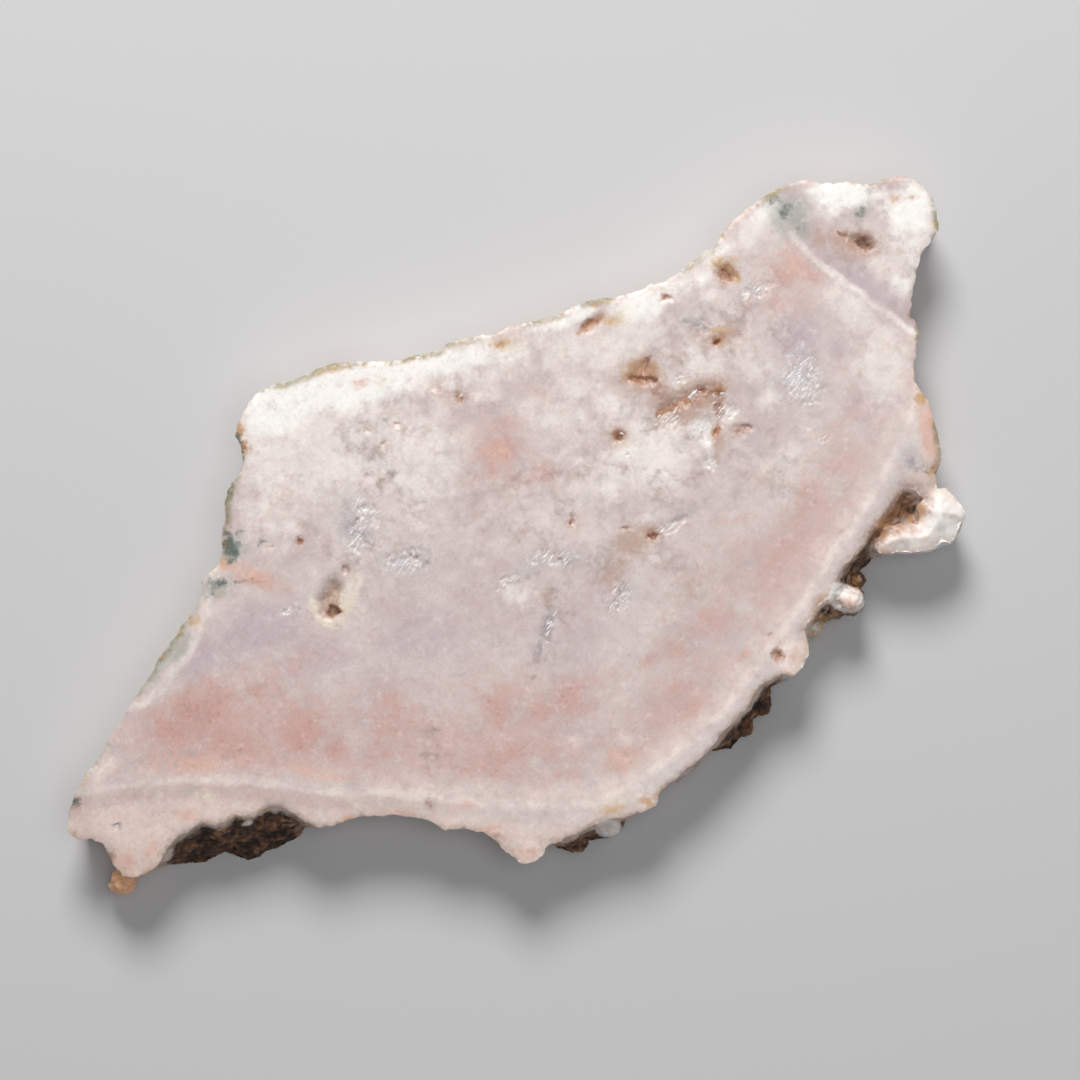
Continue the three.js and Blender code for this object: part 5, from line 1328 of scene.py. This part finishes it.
def add_quartz_points(verts, faces, numbers):
    """Quartz points in the pockets and in the broken patches, joined into one mesh."""
    rng = np.random.default_rng(5)
    sunk, sparkle = numbers["sunk"], numbers["sparkle"]
    bare = patch_weight(verts[:, :2], BARE_POCKETS)
    corners, sides, stains = [], [], []

    def join(ring, ring_faces, stain):
        sides.extend(tuple(len(corners) + k for k in face) for face in ring_faces)
        corners.extend(ring)
        stains.extend([stain] * len(ring))

    for x, y, direction, length, radius in CRYSTALS:
        place = Vector((x, y, THICKNESS - radius))
        join(*bedded_point(place, direction, 7, radius, length, rng.uniform(-14, 14), THICKNESS, 1), 0.0)
    taken = []
    open_places = (sunk > POINTS_FROM) & (sunk < POINTS_TO) & (numbers["rim_gap"] > POINTS_CLEAR)
    for i in rng.permutation(np.flatnonzero(open_places)):
        place = Vector(verts[i])
        spacing = rng.uniform(0.4, 0.9)
        chosen = rng.uniform(0, 1)
        crowded = any((place - other).length < spacing for other in taken[-500:])
        if crowded or chosen < bare[i] or chosen > POINT_CHANCE + SPARKLE_CHANCE * sparkle[i]:
            continue
        up = 1 if place.z > THICKNESS / 2 else -1
        radius = rng.uniform(0.1, 0.2) + 0.12 * rng.uniform(0, 1) ** 3
        length = radius * rng.uniform(3, 6)
        direction = 42 + rng.normal(0, 38) + 180 * rng.integers(2)
        pitch = rng.uniform(5, 25) + 40 * unit(sunk[i] - 0.3)
        top = cut_level(up) + STAND
        place.z -= up * radius * 0.3
        stain = unit((sunk[i] - 0.3) / 1.2) * (1 - min(1.0, sparkle[i]))
        roll = rng.uniform(-20, 20)
        join(*bedded_point(place, direction, pitch, radius, length, roll, top, up), stain)
        taken.append(Vector(verts[i]))
    points = add_piece("quartz_points", corners, sides, [quartz_material()])
    store(points.data, "stain", stains)


# ---- studio ----
FRAME_WIDTH = 129.6       # how much of the face's plane the picture spans
AIM = Vector((2.64, -0.72, 0))  # what the camera looks at, from the middle of the front face
CAMERA_HEIGHT = 520
SENSOR_WIDTH = 36
CAMERA_TILT = 3           # degrees off straight down, towards the slice's lower edge
FLOOR_HALF_M = 3
FLOOR_GREY = (0.62, 0.62, 0.63, 1)
SKY = (0.95, 0.97, 1.0, 1)


def add_camera():
    """A camera above the slice, nearly straight over its front face."""
    data = bpy.data.cameras.new("camera")
    data.sensor_width = SENSOR_WIDTH
    data.lens = SENSOR_WIDTH * CAMERA_HEIGHT / FRAME_WIDTH
    data.clip_end = 20
    camera = bpy.data.objects.new("camera", data)
    target = (AIM + Vector((MIDDLE_X, MIDDLE_Y, THICKNESS))) * MM
    tilt = math.radians(CAMERA_TILT)
    camera.location = target + Vector((0, -math.sin(tilt), math.cos(tilt))) * CAMERA_HEIGHT * MM
    camera.rotation_euler = (tilt, 0, 0)
    bpy.context.scene.collection.objects.link(camera)
    bpy.context.scene.camera = camera


def add_area_light(name, place, size, power, colour):
    """A round lamp in metres and watts, turned towards the origin."""
    data = bpy.data.lights.new(name, "AREA")
    data.shape = "DISK"
    data.size = size
    data.energy = power
    data.color = colour
    light = bpy.data.objects.new(name, data)
    light.location = place
    light.rotation_euler = (-Vector(place)).to_track_quat("-Z", "Y").to_euler()
    bpy.context.scene.collection.objects.link(light)


def add_studio():
    """A soft key from beyond the long top edge, a broad fill overhead and a pale floor."""
    add_area_light("key", (-0.06, 0.46, 0.46), 0.28, 3.7, (1.0, 0.99, 0.97))
    add_area_light("overhead", (0.12, -0.08, 0.75), 0.5, 1.3, (1.0, 1.0, 1.0))
    world = bpy.data.worlds.new("studio")
    world.use_nodes = True
    world.node_tree.nodes["Background"].inputs["Color"].default_value = SKY
    world.node_tree.nodes["Background"].inputs["Strength"].default_value = 0.15
    bpy.context.scene.world = world
    mesh = bpy.data.meshes.new("floor")
    half = FLOOR_HALF_M
    corners = [(-half, -half, 0), (half, -half, 0), (half, half, 0), (-half, half, 0)]
    mesh.from_pydata(corners, [], [(0, 1, 2, 3)])
    s = Shading("floor")
    s.shader.inputs["Base Color"].default_value = FLOOR_GREY
    s.shader.inputs["Roughness"].default_value = 0.75
    mesh.materials.append(s.material)
    floor = bpy.data.objects.new("floor", mesh)
    floor.location.z = -0.05 * MM
    bpy.context.scene.collection.objects.link(floor)
    bpy.context.scene.view_settings.view_transform = "Standard"


verts, faces, on_cut, numbers = slice_arrays()
describe_stone(verts, faces, on_cut, numbers)
add_slice(verts, faces, on_cut, numbers)
add_quartz_points(verts, faces, numbers)
add_studio()
add_camera()
